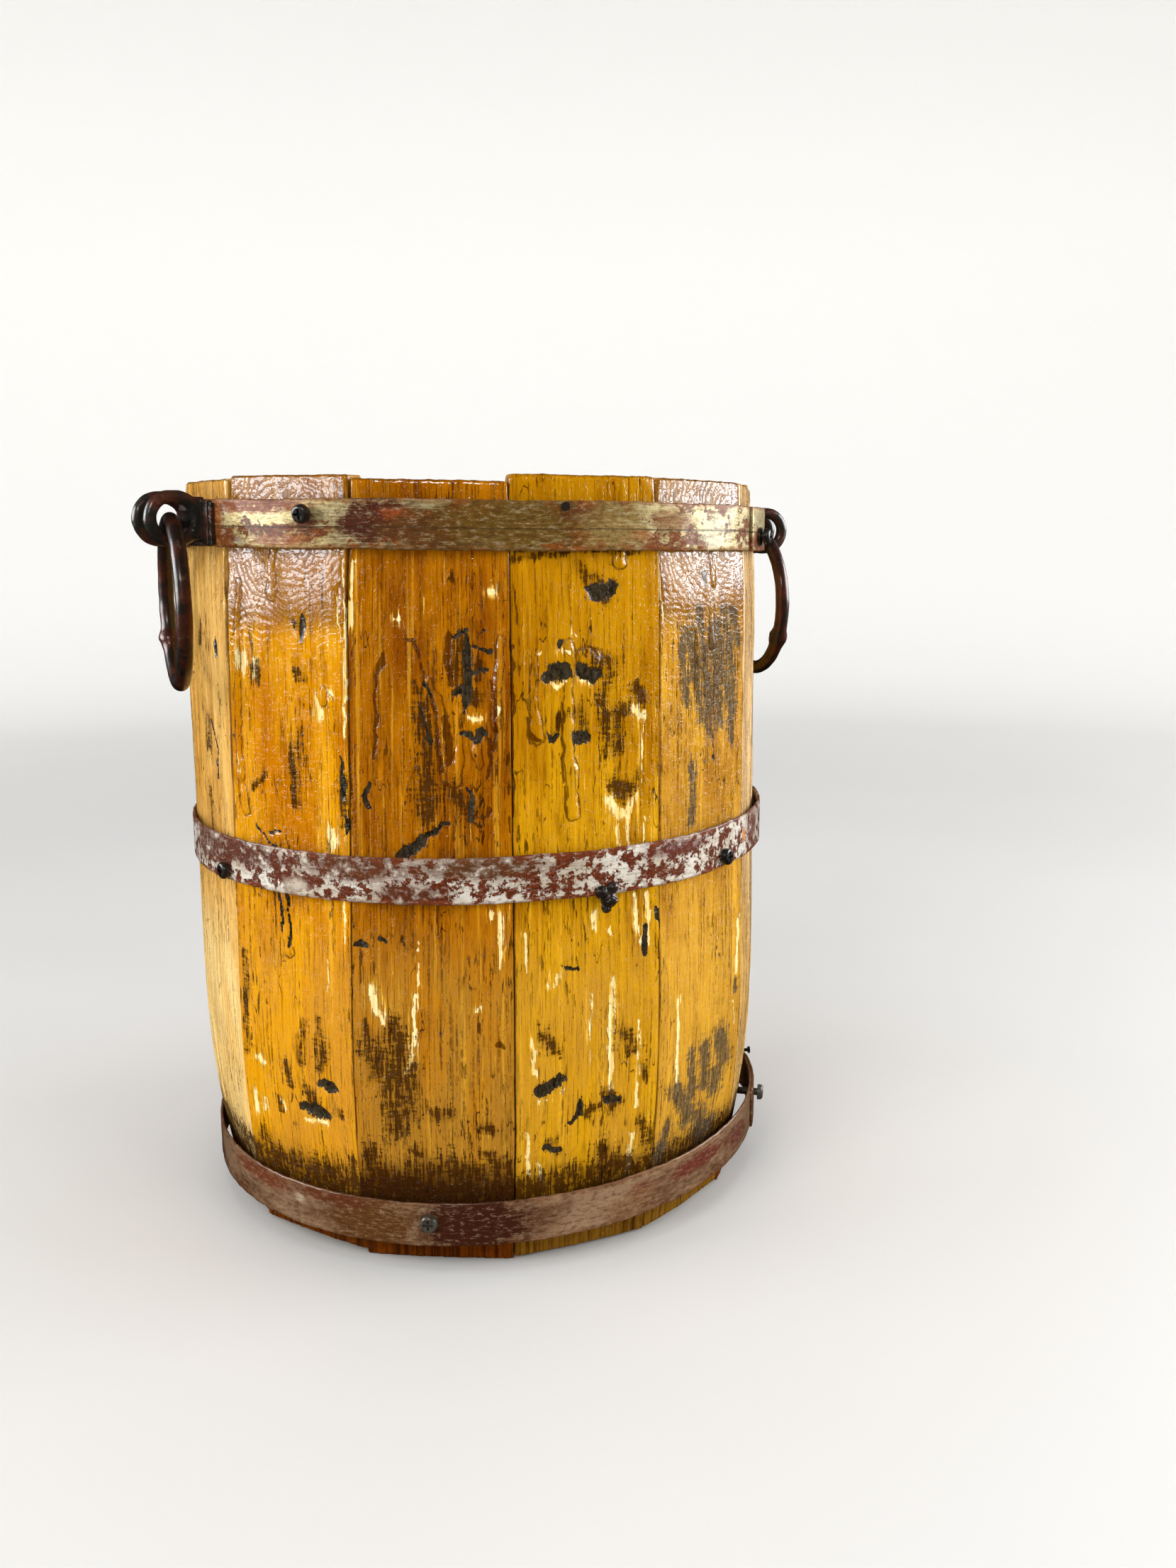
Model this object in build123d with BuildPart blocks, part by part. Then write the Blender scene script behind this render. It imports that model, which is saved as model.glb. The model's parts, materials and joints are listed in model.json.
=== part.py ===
"""Coopered wooden churn tub: staves, iron hoops, a boarded bottom and two swinging ring handles.

Millimetres and degrees. The origin is the centre of the base, on the surface that the tub
stands on, and +Z is up. An azimuth is measured round the tub's axis from the front (-Y)
towards the right (+X).
"""

import os
from math import asin, cos, degrees, radians, sin, tan

from build123d import *

os.makedirs("parts", exist_ok=True)

# ---------------------------------------------------------------- driving dimensions

HEIGHT = 381.5  # of the tallest stave
STAVE_COUNT = 13
STAVE_THICKNESS = 16.0
STAVE_GAP = 0.16  # between neighbouring staves
FIT = 0.02  # slack of a screw, nail or dowel in its hole, on the radius
FACE_CURVE_RADIUS = 460.0  # each stave's outer face is planed nearly flat
BLANK_MARGIN = 1.6  # degrees of spare wood at each side of a blank, before its joints are cut
WEDGE_REACH = 1.2  # a wedge for cutting an arc out of a circle, as a multiple of its radius
BELLY_RADIUS = 155.5  # to the edges of the staves at mid height

# how far the stave edges draw in from the belly radius, at heights from foot to rim
FOOT_DRAW, HEEL_DRAW, WAIST_DRAW = 13.0, 5.2, 0.9
SHOULDER_DRAW, NECK_DRAW, RIM_DRAW = 0.2, 1.4, 6.4
HEEL_HEIGHT, WAIST_HEIGHT, SHOULDER_HEIGHT, NECK_HEIGHT = 40.0, 82.0, 310.0, 347.0

# joints between the staves: the azimuth of each at mid height, and how far it leans over
# the full height; the joints after the last one listed are evenly spaced and upright
FRONT_JOINTS = [-79.5, -51.5, -23.2, 5.3, 33.4, 61.0]
FRONT_LEANS = [1.0, 3.9, 3.7, 1.1, 0.5, 0.4]

# top of each stave at its left and right edge, below HEIGHT; and how far its foot is short
TOP_LEFT_DROPS = [0.6, 0.0, 3.0, 1.8, 3.0, 4.1, 2.2, 3.4, 1.4, 2.6, 0.9, 2.4, 1.5]
TOP_RIGHT_DROPS = [1.4, 1.5, 5.3, 2.9, 4.0, 5.8, 3.0, 2.5, 2.1, 1.8, 1.7, 3.1, 0.9]
FOOT_LIFTS = [0.9, 1.4, 0.0, 1.2, 1.6, 0.7, 0.0, 0.8, 1.1, 0.0, 0.9, 0.5, 0.8]
RIM_THINNING = 3.5  # planed off the inner face from the neck up to the rim

CROZE_RADIUS = 136.0  # the groove that holds the bottom
CROZE_LOW, CROZE_HIGH = 24.0, 32.5
HEAD_CLEARANCE = 0.2
HEAD_THICKNESS = 15.0
HEAD_BODY_RADIUS = 126.5  # inside the staves, above and below the tongue
HEAD_BEVEL = 6.0
HEAD_BOARDS = 4
HEAD_TURN = 12.0  # the direction that the bottom's boards run in
DOWEL_DIAMETER, DOWEL_LENGTH, DOWEL_SPREAD = 7.0, 34.0, 62.0

HOOP_WIDTH = 22.2
HOOP_STRAP = 1.5
# outer radius, height at the axis, slope towards +X and towards +Y, shift towards +X;
# the bottom hoop is loose: it hangs askew and stands off the staves on the right
TOP_HOOP = (156.9, 356.7, -0.018, -0.001, 0.0)
MIDDLE_HOOP = (157.4, 196.9, 0.003, 0.007, 0.0)
BOTTOM_HOOP = (153.3, 29.2, 0.026, 0.030, 1.4)
TOP_LAP = (62.0, 76.0)  # azimuths between which the strap's end lies over its beginning
MIDDLE_LAP = (196.0, 210.0)
BOTTOM_LAP = (73.0, 91.0)

SHANK_DIAMETER, SHANK_DEPTH = 4.0, 15.0
HEAD_DIAMETER, HEAD_DEPTH = 8.6, 3.2
HEAD_ROUNDING = 1.76  # radius round the head's crown
SLOT_LENGTH, SLOT_WIDTH, SLOT_DEPTH = 5.16, 1.1, 1.6  # of the cross in the head
# azimuth, height, how far the head stands off the strap, droop of the screw's axis
TOP_SCREWS = [(-28.5, 363.0, 2.6, 9.0), (67.3, 350.4, 3.0, 0.0)]
MIDDLE_SCREWS = [(-53.1, 190.0, 1.0, 4.0), (50.9, 191.0, 0.8, -3.0)]
BOTTOM_SCREWS = [(-11.0, 25.0, 0.2, 0.0), (78.6, 35.5, 2.0, 3.0)]
WASHER_DIAMETER, WASHER_DEPTH = 9.6, 1.3
WASHER_GAP = 0.15  # between the washer and the strap's lap
NAIL_DIAMETER = 2.0
NAIL_HEAD_GAP = 0.1  # between a nail's head and what it is driven into
CONTACT_GAP = 0.05  # between welded or sprayed iron and the surface that it lies on
# azimuth, height and radius of each nail's head: one through the top hoop's upper edge and
# one driven in above the bottom hoop, to stop it creeping up
HOOP_NAIL = (14.9, 364.6, 157.0)
STOP_NAIL = (91.0, 47.8, 156.2)
NAIL_REACH = 24.0
SLAG_AZIMUTH, SLAG_HEIGHT = 21.9, 185.0
# drops of weld spatter: how far to the side, how far above SLAG_HEIGHT, and their radius
SLAG_DROPS = [(-3.2, 1.5, 3.4), (0.6, -2.2, 4.2), (2.4, 3.0, 3.0), (-0.8, -6.2, 2.6)]

RING_BAR = 7.8
RING_OUTER_DIAMETER = 86.0
RING_WELD_RADIUS = 5.2  # the lump where the ring's bar was closed
RING_WELD_ANGLE = 210.0  # round the ring, from its sideways direction
EYE_BAR = 6.2
EYE_REACH, EYE_RISE = 11.5, 10.1  # half axes of an eye loop's centre line
EYE_SPREAD = 16.0  # between the two loops of a handle eye
EYE_CENTRE_RADIUS = 171.8
EYE_PLATE_WIDTH, EYE_PLATE_THICKNESS = 33.0, 3.0
EYE_PLATE_INSET = 0.4  # from each edge of the strap
# the neck between the plate and the loops: its middle from the plate's back, its depth, and
# how far its hollow clears the inside of the loops
NECK_MIDDLE, NECK_DEPTH, NECK_CLEARANCE = 3.6, 6.0, 1.0
EYE_WELD_WIDTH = 2.6
EYE_WELD_STEP, EYE_WELD_INSET = 0.6, 1.2  # below the plate's face and from the strap's edges
WELD_GAP = 0.05  # degrees between a weld and the plate
# azimuth of the eye, height of the eye, the ring's own azimuth, its radius and top height
LEFT_HANDLE = (-58.0, 361.4, -72.5, 170.8, 360.8)
RIGHT_HANDLE = (104.5, 353.6, 103.0, 170.0, 351.9)

RING_CENTRE_LINE = (RING_OUTER_DIAMETER - RING_BAR) / 2


# ---------------------------------------------------------------- directions and planes


def outward(azimuth):
    """Level unit vector that points away from the tub's axis."""
    return Vector(sin(radians(azimuth)), -cos(radians(azimuth)), 0)


def sideways(azimuth):
    """Level unit vector along the tub's surface, towards larger azimuths."""
    return Vector(cos(radians(azimuth)), sin(radians(azimuth)), 0)


def surface_point(azimuth, radius, height, side=0.0):
    return outward(azimuth) * radius + sideways(azimuth) * side + Vector(0, 0, height)


def upright_plane(azimuth, radius, height, side=0.0):
    """Plane along the radius: x runs outward and y runs up."""
    out = outward(azimuth)
    return Plane(surface_point(azimuth, radius, height, side), x_dir=out, z_dir=out.cross(Vector(0, 0, 1)))


def hoop_plane(hoop):
    """The slightly tilted plane through the middle of a hoop."""
    _, height, slope_x, slope_y, shift = hoop
    return Plane((shift, 0, height), x_dir=(1, 0, slope_x), z_dir=(-slope_x, -slope_y, 1))


def hoop_reach(hoop, azimuth):
    """Distance from the tub's axis to the outside of a hoop."""
    return hoop[0] + hoop[4] * sin(radians(azimuth))


def screw_plane(azimuth, height, radius, droop=0.0):
    """Plane under a screw's head: z runs out of the tub, tipped down by the droop."""
    out = outward(azimuth) * cos(radians(droop)) - Vector(0, 0, sin(radians(droop)))
    return Plane(surface_point(azimuth, radius, height), x_dir=sideways(azimuth), z_dir=out)


def sector(azimuth_start, azimuth_end, radius):
    """Corners of a wedge that reaches past the radius, for use in a level sketch."""
    middle = (azimuth_start + azimuth_end) / 2
    reach = radius * WEDGE_REACH
    corners = [outward(azimuth) * reach for azimuth in (azimuth_start, middle, azimuth_end)]
    return [(0, 0)] + [(corner.X, corner.Y) for corner in corners]


# ---------------------------------------------------------------- staves

later_joints = STAVE_COUNT - len(FRONT_JOINTS)
step = (360 + FRONT_JOINTS[0] - FRONT_JOINTS[-1]) / (later_joints + 1)
joints = FRONT_JOINTS + [FRONT_JOINTS[-1] + step * (i + 1) for i in range(later_joints)]
leans = FRONT_LEANS + [0.0] * later_joints
joints.append(joints[0] + 360)
leans.append(leans[0])

hoops = (
    ("top_hoop", TOP_HOOP, TOP_LAP, TOP_SCREWS),
    ("middle_hoop", MIDDLE_HOOP, MIDDLE_LAP, MIDDLE_SCREWS),
    ("bottom_hoop", BOTTOM_HOOP, BOTTOM_LAP, BOTTOM_SCREWS),
)


def joint_plane(index, side):
    """The radial cut at one joint, moved half a gap to the side that the stave is on."""
    azimuth, lean = joints[index], radians(leans[index])
    run = BELLY_RADIUS * lean / HEIGHT
    normal = (sideways(azimuth) - Vector(0, 0, run)).normalized()
    return Plane(Vector(0, 0, HEIGHT / 2) + normal * side * STAVE_GAP / 2, z_dir=normal * side)


for index in range(STAVE_COUNT):
    half_width = radians(joints[index + 1] - joints[index]) / 2
    middle = (joints[index] + joints[index + 1]) / 2
    crown = (BELLY_RADIUS * sin(half_width)) ** 2 / (2 * FACE_CURVE_RADIUS)
    face = BELLY_RADIUS * cos(half_width) + crown
    back_off = FACE_CURVE_RADIUS - face  # from the tub's axis back to the face's own axis
    swing = degrees(asin(BELLY_RADIUS * sin(half_width) / FACE_CURVE_RADIUS)) + BLANK_MARGIN
    start = middle - swing
    hub = outward(middle) * -back_off
    blank = Plane(hub, x_dir=outward(start), z_dir=outward(start).cross(Vector(0, 0, 1)))
    out = FACE_CURVE_RADIUS
    with BuildPart() as stave:
        with BuildSketch(blank):
            with BuildLine():
                Spline(
                    (out - FOOT_DRAW, 0),
                    (out - HEEL_DRAW, HEEL_HEIGHT),
                    (out - WAIST_DRAW, WAIST_HEIGHT),
                    (out, HEIGHT / 2),
                    (out - SHOULDER_DRAW, SHOULDER_HEIGHT),
                    (out - NECK_DRAW, NECK_HEIGHT),
                    (out - RIM_DRAW, HEIGHT),
                )
                Polyline(
                    (out - RIM_DRAW, HEIGHT),
                    (out - RIM_DRAW - STAVE_THICKNESS + RIM_THINNING, HEIGHT),
                    (out - NECK_DRAW - STAVE_THICKNESS, NECK_HEIGHT),
                    (out - STAVE_THICKNESS, SHOULDER_HEIGHT),
                    (out - STAVE_THICKNESS, WAIST_HEIGHT),
                    (out - FOOT_DRAW - STAVE_THICKNESS, 0),
                    (out - FOOT_DRAW, 0),
                )
            make_face()
        revolve(axis=Axis(hub, (0, 0, 1)), revolution_arc=2 * swing)
        split(bisect_by=joint_plane(index, 1), keep=Keep.TOP)
        split(bisect_by=joint_plane(index + 1, -1), keep=Keep.TOP)
        # the groove for the bottom is cut round the tub's own axis
        with BuildSketch(Plane.XY.offset(CROZE_LOW)):
            Circle(CROZE_RADIUS)
        extrude(amount=CROZE_HIGH - CROZE_LOW, mode=Mode.SUBTRACT)
        # the sawn top slopes a little from one edge to the other
        left, right = HEIGHT - TOP_LEFT_DROPS[index], HEIGHT - TOP_RIGHT_DROPS[index]
        slope = (right - left) / (2 * BELLY_RADIUS * sin(half_width))
        if left < HEIGHT or right < HEIGHT:
            saw_cut = Vector(0, 0, 1) - sideways(middle) * slope
            split(
                bisect_by=Plane(surface_point(middle, face, (left + right) / 2), z_dir=saw_cut),
                keep=Keep.BOTTOM,
            )
        if FOOT_LIFTS[index] > 0:
            split(bisect_by=Plane.XY.offset(FOOT_LIFTS[index]), keep=Keep.TOP)
        for _, hoop, _, screws in hoops:
            for azimuth, height, _, droop in screws:
                if joints[index] < azimuth < joints[index + 1]:
                    with BuildSketch(screw_plane(azimuth, height, hoop_reach(hoop, azimuth), droop)):
                        Circle(SHANK_DIAMETER / 2 + FIT)
                    extrude(amount=-SHANK_DEPTH, mode=Mode.SUBTRACT)
        for azimuth, height, radius in (HOOP_NAIL, STOP_NAIL):
            if joints[index] < azimuth < joints[index + 1]:
                with BuildSketch(screw_plane(azimuth, height, radius)):
                    Circle(NAIL_DIAMETER / 2 + FIT)
                extrude(amount=-NAIL_REACH, mode=Mode.SUBTRACT)
    name = f"stave_{index + 1:02d}"
    stave.part.label = name
    export_step(stave.part, f"parts/{name}.step")

# ---------------------------------------------------------------- the boarded bottom

tongue_radius = CROZE_RADIUS - HEAD_CLEARANCE
tongue_low, tongue_high = CROZE_LOW + HEAD_CLEARANCE, CROZE_HIGH - HEAD_CLEARANCE
head_low = (CROZE_LOW + CROZE_HIGH - HEAD_THICKNESS) / 2
head_high = head_low + HEAD_THICKNESS
board_width = 2 * tongue_radius / HEAD_BOARDS
board_run = Vector(sin(radians(HEAD_TURN)), cos(radians(HEAD_TURN)), 0)
board_across = Vector(cos(radians(HEAD_TURN)), -sin(radians(HEAD_TURN)), 0)
dowel_height = (head_low + head_high) / 2
seams = [board_width * (i - HEAD_BOARDS / 2) for i in range(1, HEAD_BOARDS)]


def dowel_planes():
    """Planes along each seam of the bottom, one for each dowel, facing across the boards."""
    for seam in seams:
        for along in (-DOWEL_SPREAD, DOWEL_SPREAD):
            centre = board_across * seam + board_run * along + Vector(0, 0, dowel_height)
            yield Plane(centre, z_dir=board_across)


for number in range(HEAD_BOARDS):
    low_edge = board_width * (number - HEAD_BOARDS / 2)
    high_edge = low_edge + board_width
    with BuildPart() as board:
        with BuildSketch(Plane.XZ):
            with BuildLine():
                Polyline(
                    (0, head_low),
                    (HEAD_BODY_RADIUS - HEAD_BEVEL, head_low),
                    (HEAD_BODY_RADIUS, tongue_low),
                    (tongue_radius, tongue_low),
                    (tongue_radius, tongue_high),
                    (HEAD_BODY_RADIUS, tongue_high),
                    (HEAD_BODY_RADIUS - HEAD_BEVEL, head_high),
                    (0, head_high),
                    close=True,
                )
            make_face()
        revolve(axis=Axis.Z)
        if number > 0:
            cut = Plane(board_across * (low_edge + STAVE_GAP / 2), z_dir=board_across)
            split(bisect_by=cut, keep=Keep.TOP)
        if number < HEAD_BOARDS - 1:
            cut = Plane(board_across * (high_edge - STAVE_GAP / 2), z_dir=board_across)
            split(bisect_by=cut, keep=Keep.BOTTOM)
        for plane in dowel_planes():
            with BuildSketch(plane):
                Circle(DOWEL_DIAMETER / 2 + FIT)
            extrude(amount=DOWEL_LENGTH / 2 + 1, both=True, mode=Mode.SUBTRACT)
    board.part.label = f"bottom_board_{number + 1}"
    export_step(board.part, f"parts/bottom_board_{number + 1}.step")

with BuildPart() as bottom_dowels:
    for plane in dowel_planes():
        with BuildSketch(plane):
            Circle(DOWEL_DIAMETER / 2)
        extrude(amount=DOWEL_LENGTH / 2, both=True)
bottom_dowels.part.label = "bottom_dowels"
export_step(bottom_dowels.part, "parts/bottom_dowels.step")

# ---------------------------------------------------------------- hoops

for name, hoop, lap, screws in hoops:
    radius = hoop[0]
    with BuildPart() as strap:
        with BuildSketch(hoop_plane(hoop)):
            Circle(radius)
            Circle(radius - HOOP_STRAP, mode=Mode.SUBTRACT)
        extrude(amount=HOOP_WIDTH / 2, both=True)
        # the end of the strap lies over its beginning
        with BuildSketch(hoop_plane(hoop)):
            Circle(radius + HOOP_STRAP)
            Circle(radius - HOOP_STRAP / 2, mode=Mode.SUBTRACT)
            with BuildLine():
                Polyline(*sector(*lap, radius), close=True)
            make_face(mode=Mode.INTERSECT)
        extrude(amount=HOOP_WIDTH / 2, both=True)
        for azimuth, height, _, droop in screws:
            with BuildSketch(screw_plane(azimuth, height, hoop_reach(hoop, azimuth), droop)):
                Circle(SHANK_DIAMETER / 2 + FIT)
            extrude(amount=4 * HOOP_STRAP, both=True, mode=Mode.SUBTRACT)
        if name == "top_hoop":
            with BuildSketch(screw_plane(*HOOP_NAIL)):
                Circle(NAIL_DIAMETER / 2 + FIT)
            extrude(amount=2 * HOOP_STRAP, both=True, mode=Mode.SUBTRACT)
    strap.part.label = name
    export_step(strap.part, f"parts/{name}.step")

# ---------------------------------------------------------------- fasteners

for name, hoop, lap, screws in hoops:
    with BuildPart() as screw_group:
        for azimuth, height, stand_off, droop in screws:
            on_lap = HOOP_STRAP if lap[0] < azimuth < lap[1] else 0.0
            seat = screw_plane(azimuth, height, hoop_reach(hoop, azimuth), droop)
            under_head = seat.offset(on_lap + stand_off + tan(radians(abs(droop))) * HEAD_DIAMETER / 2)
            with BuildSketch(under_head):
                Circle(SHANK_DIAMETER / 2)
            extrude(amount=-(SHANK_DEPTH - 1 + stand_off))
            with BuildSketch(under_head):
                Circle(HEAD_DIAMETER / 2)
            extrude(amount=HEAD_DEPTH)
            screw_axis = Axis(under_head.origin, under_head.z_dir)
            crown = screw_group.faces(Select.LAST).sort_by(screw_axis)[-1]
            fillet(crown.edges(), HEAD_ROUNDING)
            crown_plane = under_head.offset(HEAD_DEPTH)
            with BuildSketch(crown_plane):
                Rectangle(SLOT_LENGTH, SLOT_WIDTH)
                Rectangle(SLOT_WIDTH, SLOT_LENGTH)
            extrude(amount=-SLOT_DEPTH, mode=Mode.SUBTRACT)
    screw_group.part.label = f"{name}_screws"
    export_step(screw_group.part, f"parts/{name}_screws.step")

lap_azimuth, lap_height, _, _ = TOP_SCREWS[1]
lap_surface = screw_plane(lap_azimuth, lap_height, TOP_HOOP[0] + HOOP_STRAP)
with BuildPart() as lap_washer:
    with BuildSketch(lap_surface.offset(WASHER_GAP)):
        Circle(WASHER_DIAMETER / 2)
        Circle(SHANK_DIAMETER / 2 + FIT, mode=Mode.SUBTRACT)
    extrude(amount=WASHER_DEPTH)
lap_washer.part.label = "lap_washer"
export_step(lap_washer.part, "parts/lap_washer.step")

with BuildPart() as hoop_nails:
    for azimuth, height, radius in (HOOP_NAIL, STOP_NAIL):
        nail_plane = screw_plane(azimuth, height, radius + NAIL_HEAD_GAP)
        with BuildSketch(nail_plane):
            Circle(NAIL_DIAMETER / 2)
        extrude(amount=1 - NAIL_REACH)
        with BuildSketch(nail_plane):
            Circle(NAIL_DIAMETER)
        extrude(amount=NAIL_DIAMETER / 2)
hoop_nails.part.label = "hoop_nails"
export_step(hoop_nails.part, "parts/hoop_nails.step")

with BuildPart() as weld_slag:
    for side, height, radius in SLAG_DROPS:
        with Locations(surface_point(SLAG_AZIMUTH, MIDDLE_HOOP[0], SLAG_HEIGHT + height, side)):
            Sphere(radius)
    with Locations((0, 0, SLAG_HEIGHT)):
        Cylinder(MIDDLE_HOOP[0] + CONTACT_GAP, 2 * HOOP_WIDTH, mode=Mode.SUBTRACT)
weld_slag.part.label = "weld_slag"
export_step(weld_slag.part, "parts/weld_slag.step")

# ---------------------------------------------------------------- handle eyes and rings

plate_half = degrees(asin(EYE_PLATE_WIDTH / 2 / TOP_HOOP[0]))
weld_arc = degrees(EYE_WELD_WIDTH / TOP_HOOP[0])

for side_name, (azimuth, eye_height, ring_azimuth, ring_radius, ring_top) in (
    ("left", LEFT_HANDLE),
    ("right", RIGHT_HANDLE),
):
    plate_low = TOP_HOOP[0] + CONTACT_GAP
    plate_high = plate_low + EYE_PLATE_THICKNESS
    inner_reach = EYE_REACH - EYE_BAR / 2
    inner_rise = EYE_RISE - EYE_BAR / 2
    eye_straight = EYE_REACH - EYE_RISE
    with BuildPart() as eye:
        # the plate is curved to the hoop that it is welded to
        with BuildSketch(hoop_plane(TOP_HOOP)):
            Circle(plate_high)
            Circle(plate_low, mode=Mode.SUBTRACT)
            with BuildLine():
                Polyline(*sector(azimuth - plate_half, azimuth + plate_half, plate_high), close=True)
            make_face(mode=Mode.INTERSECT)
        extrude(amount=HOOP_WIDTH / 2 - EYE_PLATE_INSET, both=True)
        # the neck fills the space between the loops and the plate, hollowed round the ring
        with BuildSketch(upright_plane(azimuth, EYE_CENTRE_RADIUS, eye_height)):
            with Locations((plate_low + NECK_MIDDLE - EYE_CENTRE_RADIUS, 0)):
                Rectangle(NECK_DEPTH, 2 * EYE_RISE)
            Ellipse(inner_reach + NECK_CLEARANCE, inner_rise + NECK_CLEARANCE, mode=Mode.SUBTRACT)
        extrude(amount=(EYE_SPREAD + EYE_BAR) / 2, both=True)
        for side in (-EYE_SPREAD / 2, EYE_SPREAD / 2):
            loop_plane = upright_plane(azimuth, EYE_CENTRE_RADIUS, eye_height, side)
            with BuildLine(loop_plane) as loop_path:
                Line((-eye_straight, EYE_RISE), (eye_straight, EYE_RISE))
                CenterArc((eye_straight, 0), EYE_RISE, 90, -180)
                Line((eye_straight, -EYE_RISE), (-eye_straight, -EYE_RISE))
                CenterArc((-eye_straight, 0), EYE_RISE, 270, -180)
            with BuildSketch(Plane(loop_path.line @ 0, z_dir=loop_path.line % 0)):
                Circle(EYE_BAR / 2)
            sweep(path=loop_path.line)
    eye.part.label = f"{side_name}_eye"
    export_step(eye.part, f"parts/{side_name}_eye.step")

    with BuildPart() as weld:
        for edge, turn in ((azimuth - plate_half, -1), (azimuth + plate_half, 1)):
            with BuildSketch(hoop_plane(TOP_HOOP)):
                Circle(plate_high - EYE_WELD_STEP)
                Circle(plate_low, mode=Mode.SUBTRACT)
                with BuildLine():
                    near, far = edge + turn * WELD_GAP, edge + turn * weld_arc
                    Polyline(*sector(near, far, plate_high), close=True)
                make_face(mode=Mode.INTERSECT)
            extrude(amount=HOOP_WIDTH / 2 - EYE_WELD_INSET, both=True)
    weld.part.label = f"{side_name}_eye_welds"
    export_step(weld.part, f"parts/{side_name}_eye_welds.step")

    ring_middle = outward(azimuth) * ring_radius + Vector(0, 0, ring_top - RING_CENTRE_LINE)
    ring_plane = Plane(ring_middle, x_dir=sideways(ring_azimuth), z_dir=outward(ring_azimuth))
    with BuildPart() as ring:
        with Locations(ring_plane):
            Torus(RING_CENTRE_LINE, RING_BAR / 2)
            with PolarLocations(RING_CENTRE_LINE, 1, start_angle=RING_WELD_ANGLE):
                Sphere(RING_WELD_RADIUS)
    ring.part.label = f"{side_name}_ring"
    export_step(ring.part, f"parts/{side_name}_ring.step")
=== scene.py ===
import json
import math

import bpy
import numpy as np
from mathutils import Matrix, Vector


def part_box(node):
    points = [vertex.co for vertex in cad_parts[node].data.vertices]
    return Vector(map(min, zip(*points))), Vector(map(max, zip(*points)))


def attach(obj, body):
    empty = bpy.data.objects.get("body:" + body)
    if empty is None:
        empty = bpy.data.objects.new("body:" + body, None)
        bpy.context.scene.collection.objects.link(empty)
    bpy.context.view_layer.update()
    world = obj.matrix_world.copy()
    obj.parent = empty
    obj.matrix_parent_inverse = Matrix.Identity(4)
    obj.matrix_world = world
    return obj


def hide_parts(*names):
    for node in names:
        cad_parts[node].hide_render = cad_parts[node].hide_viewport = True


# An old coopered churn tub: worn staves under thick amber varnish, rusty strap hoops, and
# blackened iron rings. Everything is in metres, in the CAD model's own frame. Azimuths are in
# degrees from the front (-Y) towards the right (+X). On a stave, "across" runs from its middle
# towards larger azimuths and "depth" runs inward from its outer face.

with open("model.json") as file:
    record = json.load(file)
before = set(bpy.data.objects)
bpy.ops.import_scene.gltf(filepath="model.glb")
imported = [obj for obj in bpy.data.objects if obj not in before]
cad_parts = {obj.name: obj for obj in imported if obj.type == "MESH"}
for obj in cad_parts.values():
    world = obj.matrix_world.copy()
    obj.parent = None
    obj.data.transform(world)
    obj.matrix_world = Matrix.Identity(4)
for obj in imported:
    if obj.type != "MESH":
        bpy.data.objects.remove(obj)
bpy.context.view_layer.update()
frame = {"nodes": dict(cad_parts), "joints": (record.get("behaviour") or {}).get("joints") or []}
MM = 0.001
STAVES = sorted(name for name in frame["nodes"] if name.startswith("stave_"))
FRONT_STAVES = 6  # the first ones, numbered from the left; they get the finest meshes


# ---- repeatable noise


def lattice(cell, seed):
    """A repeatable random number from 0 to 1 for each whole-number lattice point."""
    mixed = cell[..., 0] * 374761393 + cell[..., 1] * 668265263 + cell[..., 2] * 1440662683
    mixed = (mixed + seed * 974634777) & 0xFFFFFFFF
    mixed = ((mixed ^ (mixed >> 13)) * 1274126177) & 0xFFFFFFFF
    mixed = mixed ^ (mixed >> 16)
    return (mixed & 0xFFFFFF) / 0xFFFFFF


def noise(points, seed):
    """Smooth noise from 0 to 1 at each row of points, with features about one unit across."""
    cell = np.floor(points).astype(np.int64)
    part = points - cell
    part = part * part * (3 - 2 * part)
    total = np.zeros(len(points))
    for corner in np.ndindex(2, 2, 2):
        weight = np.ones(len(points))
        for axis in range(3):
            weight = weight * (part[:, axis] if corner[axis] else 1 - part[:, axis])
        total += weight * lattice(cell + np.array(corner), seed)
    return total


def layered_noise(points, layers, seed):
    """Noise from 0 to 1 with finer and weaker layers added."""
    total, weight = np.zeros(len(points)), 0.0
    for layer in range(layers):
        total += noise(points * 2**layer, seed + layer) * 0.5**layer
        weight += 0.5**layer
    return total / weight


def sway(points, layers, seed):
    """Layered noise about zero, from -0.5 to 0.5."""
    return layered_noise(points, layers, seed) - 0.5


def smooth_step(value, low, high):
    t = np.clip((value - low) / (high - low), 0, 1)
    return t * t * (3 - 2 * t)


# ---- directions and mesh helpers


def outward(azimuth):
    return np.array([math.sin(math.radians(azimuth)), -math.cos(math.radians(azimuth)), 0.0])


def sideways(azimuth):
    return np.array([math.cos(math.radians(azimuth)), math.sin(math.radians(azimuth)), 0.0])


def mesh_arrays(node):
    """A CAD node's vertices and triangles as arrays."""
    mesh = frame["nodes"][node].data
    mesh.calc_loop_triangles()
    points = np.array([vertex.co for vertex in mesh.vertices])
    triangles = np.array([triangle.vertices for triangle in mesh.loop_triangles])
    return points, triangles


def ring_faces(rows, size, closed=False):
    """Quads between neighbouring rows of points, where each row runs once round."""
    faces = []
    for row in range(rows if closed else rows - 1):
        here, beside = row * size, (row + 1) % rows * size
        for k in range(size):
            after = (k + 1) % size
            faces.append((here + k, beside + k, beside + after, here + after))
    return faces


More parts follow.
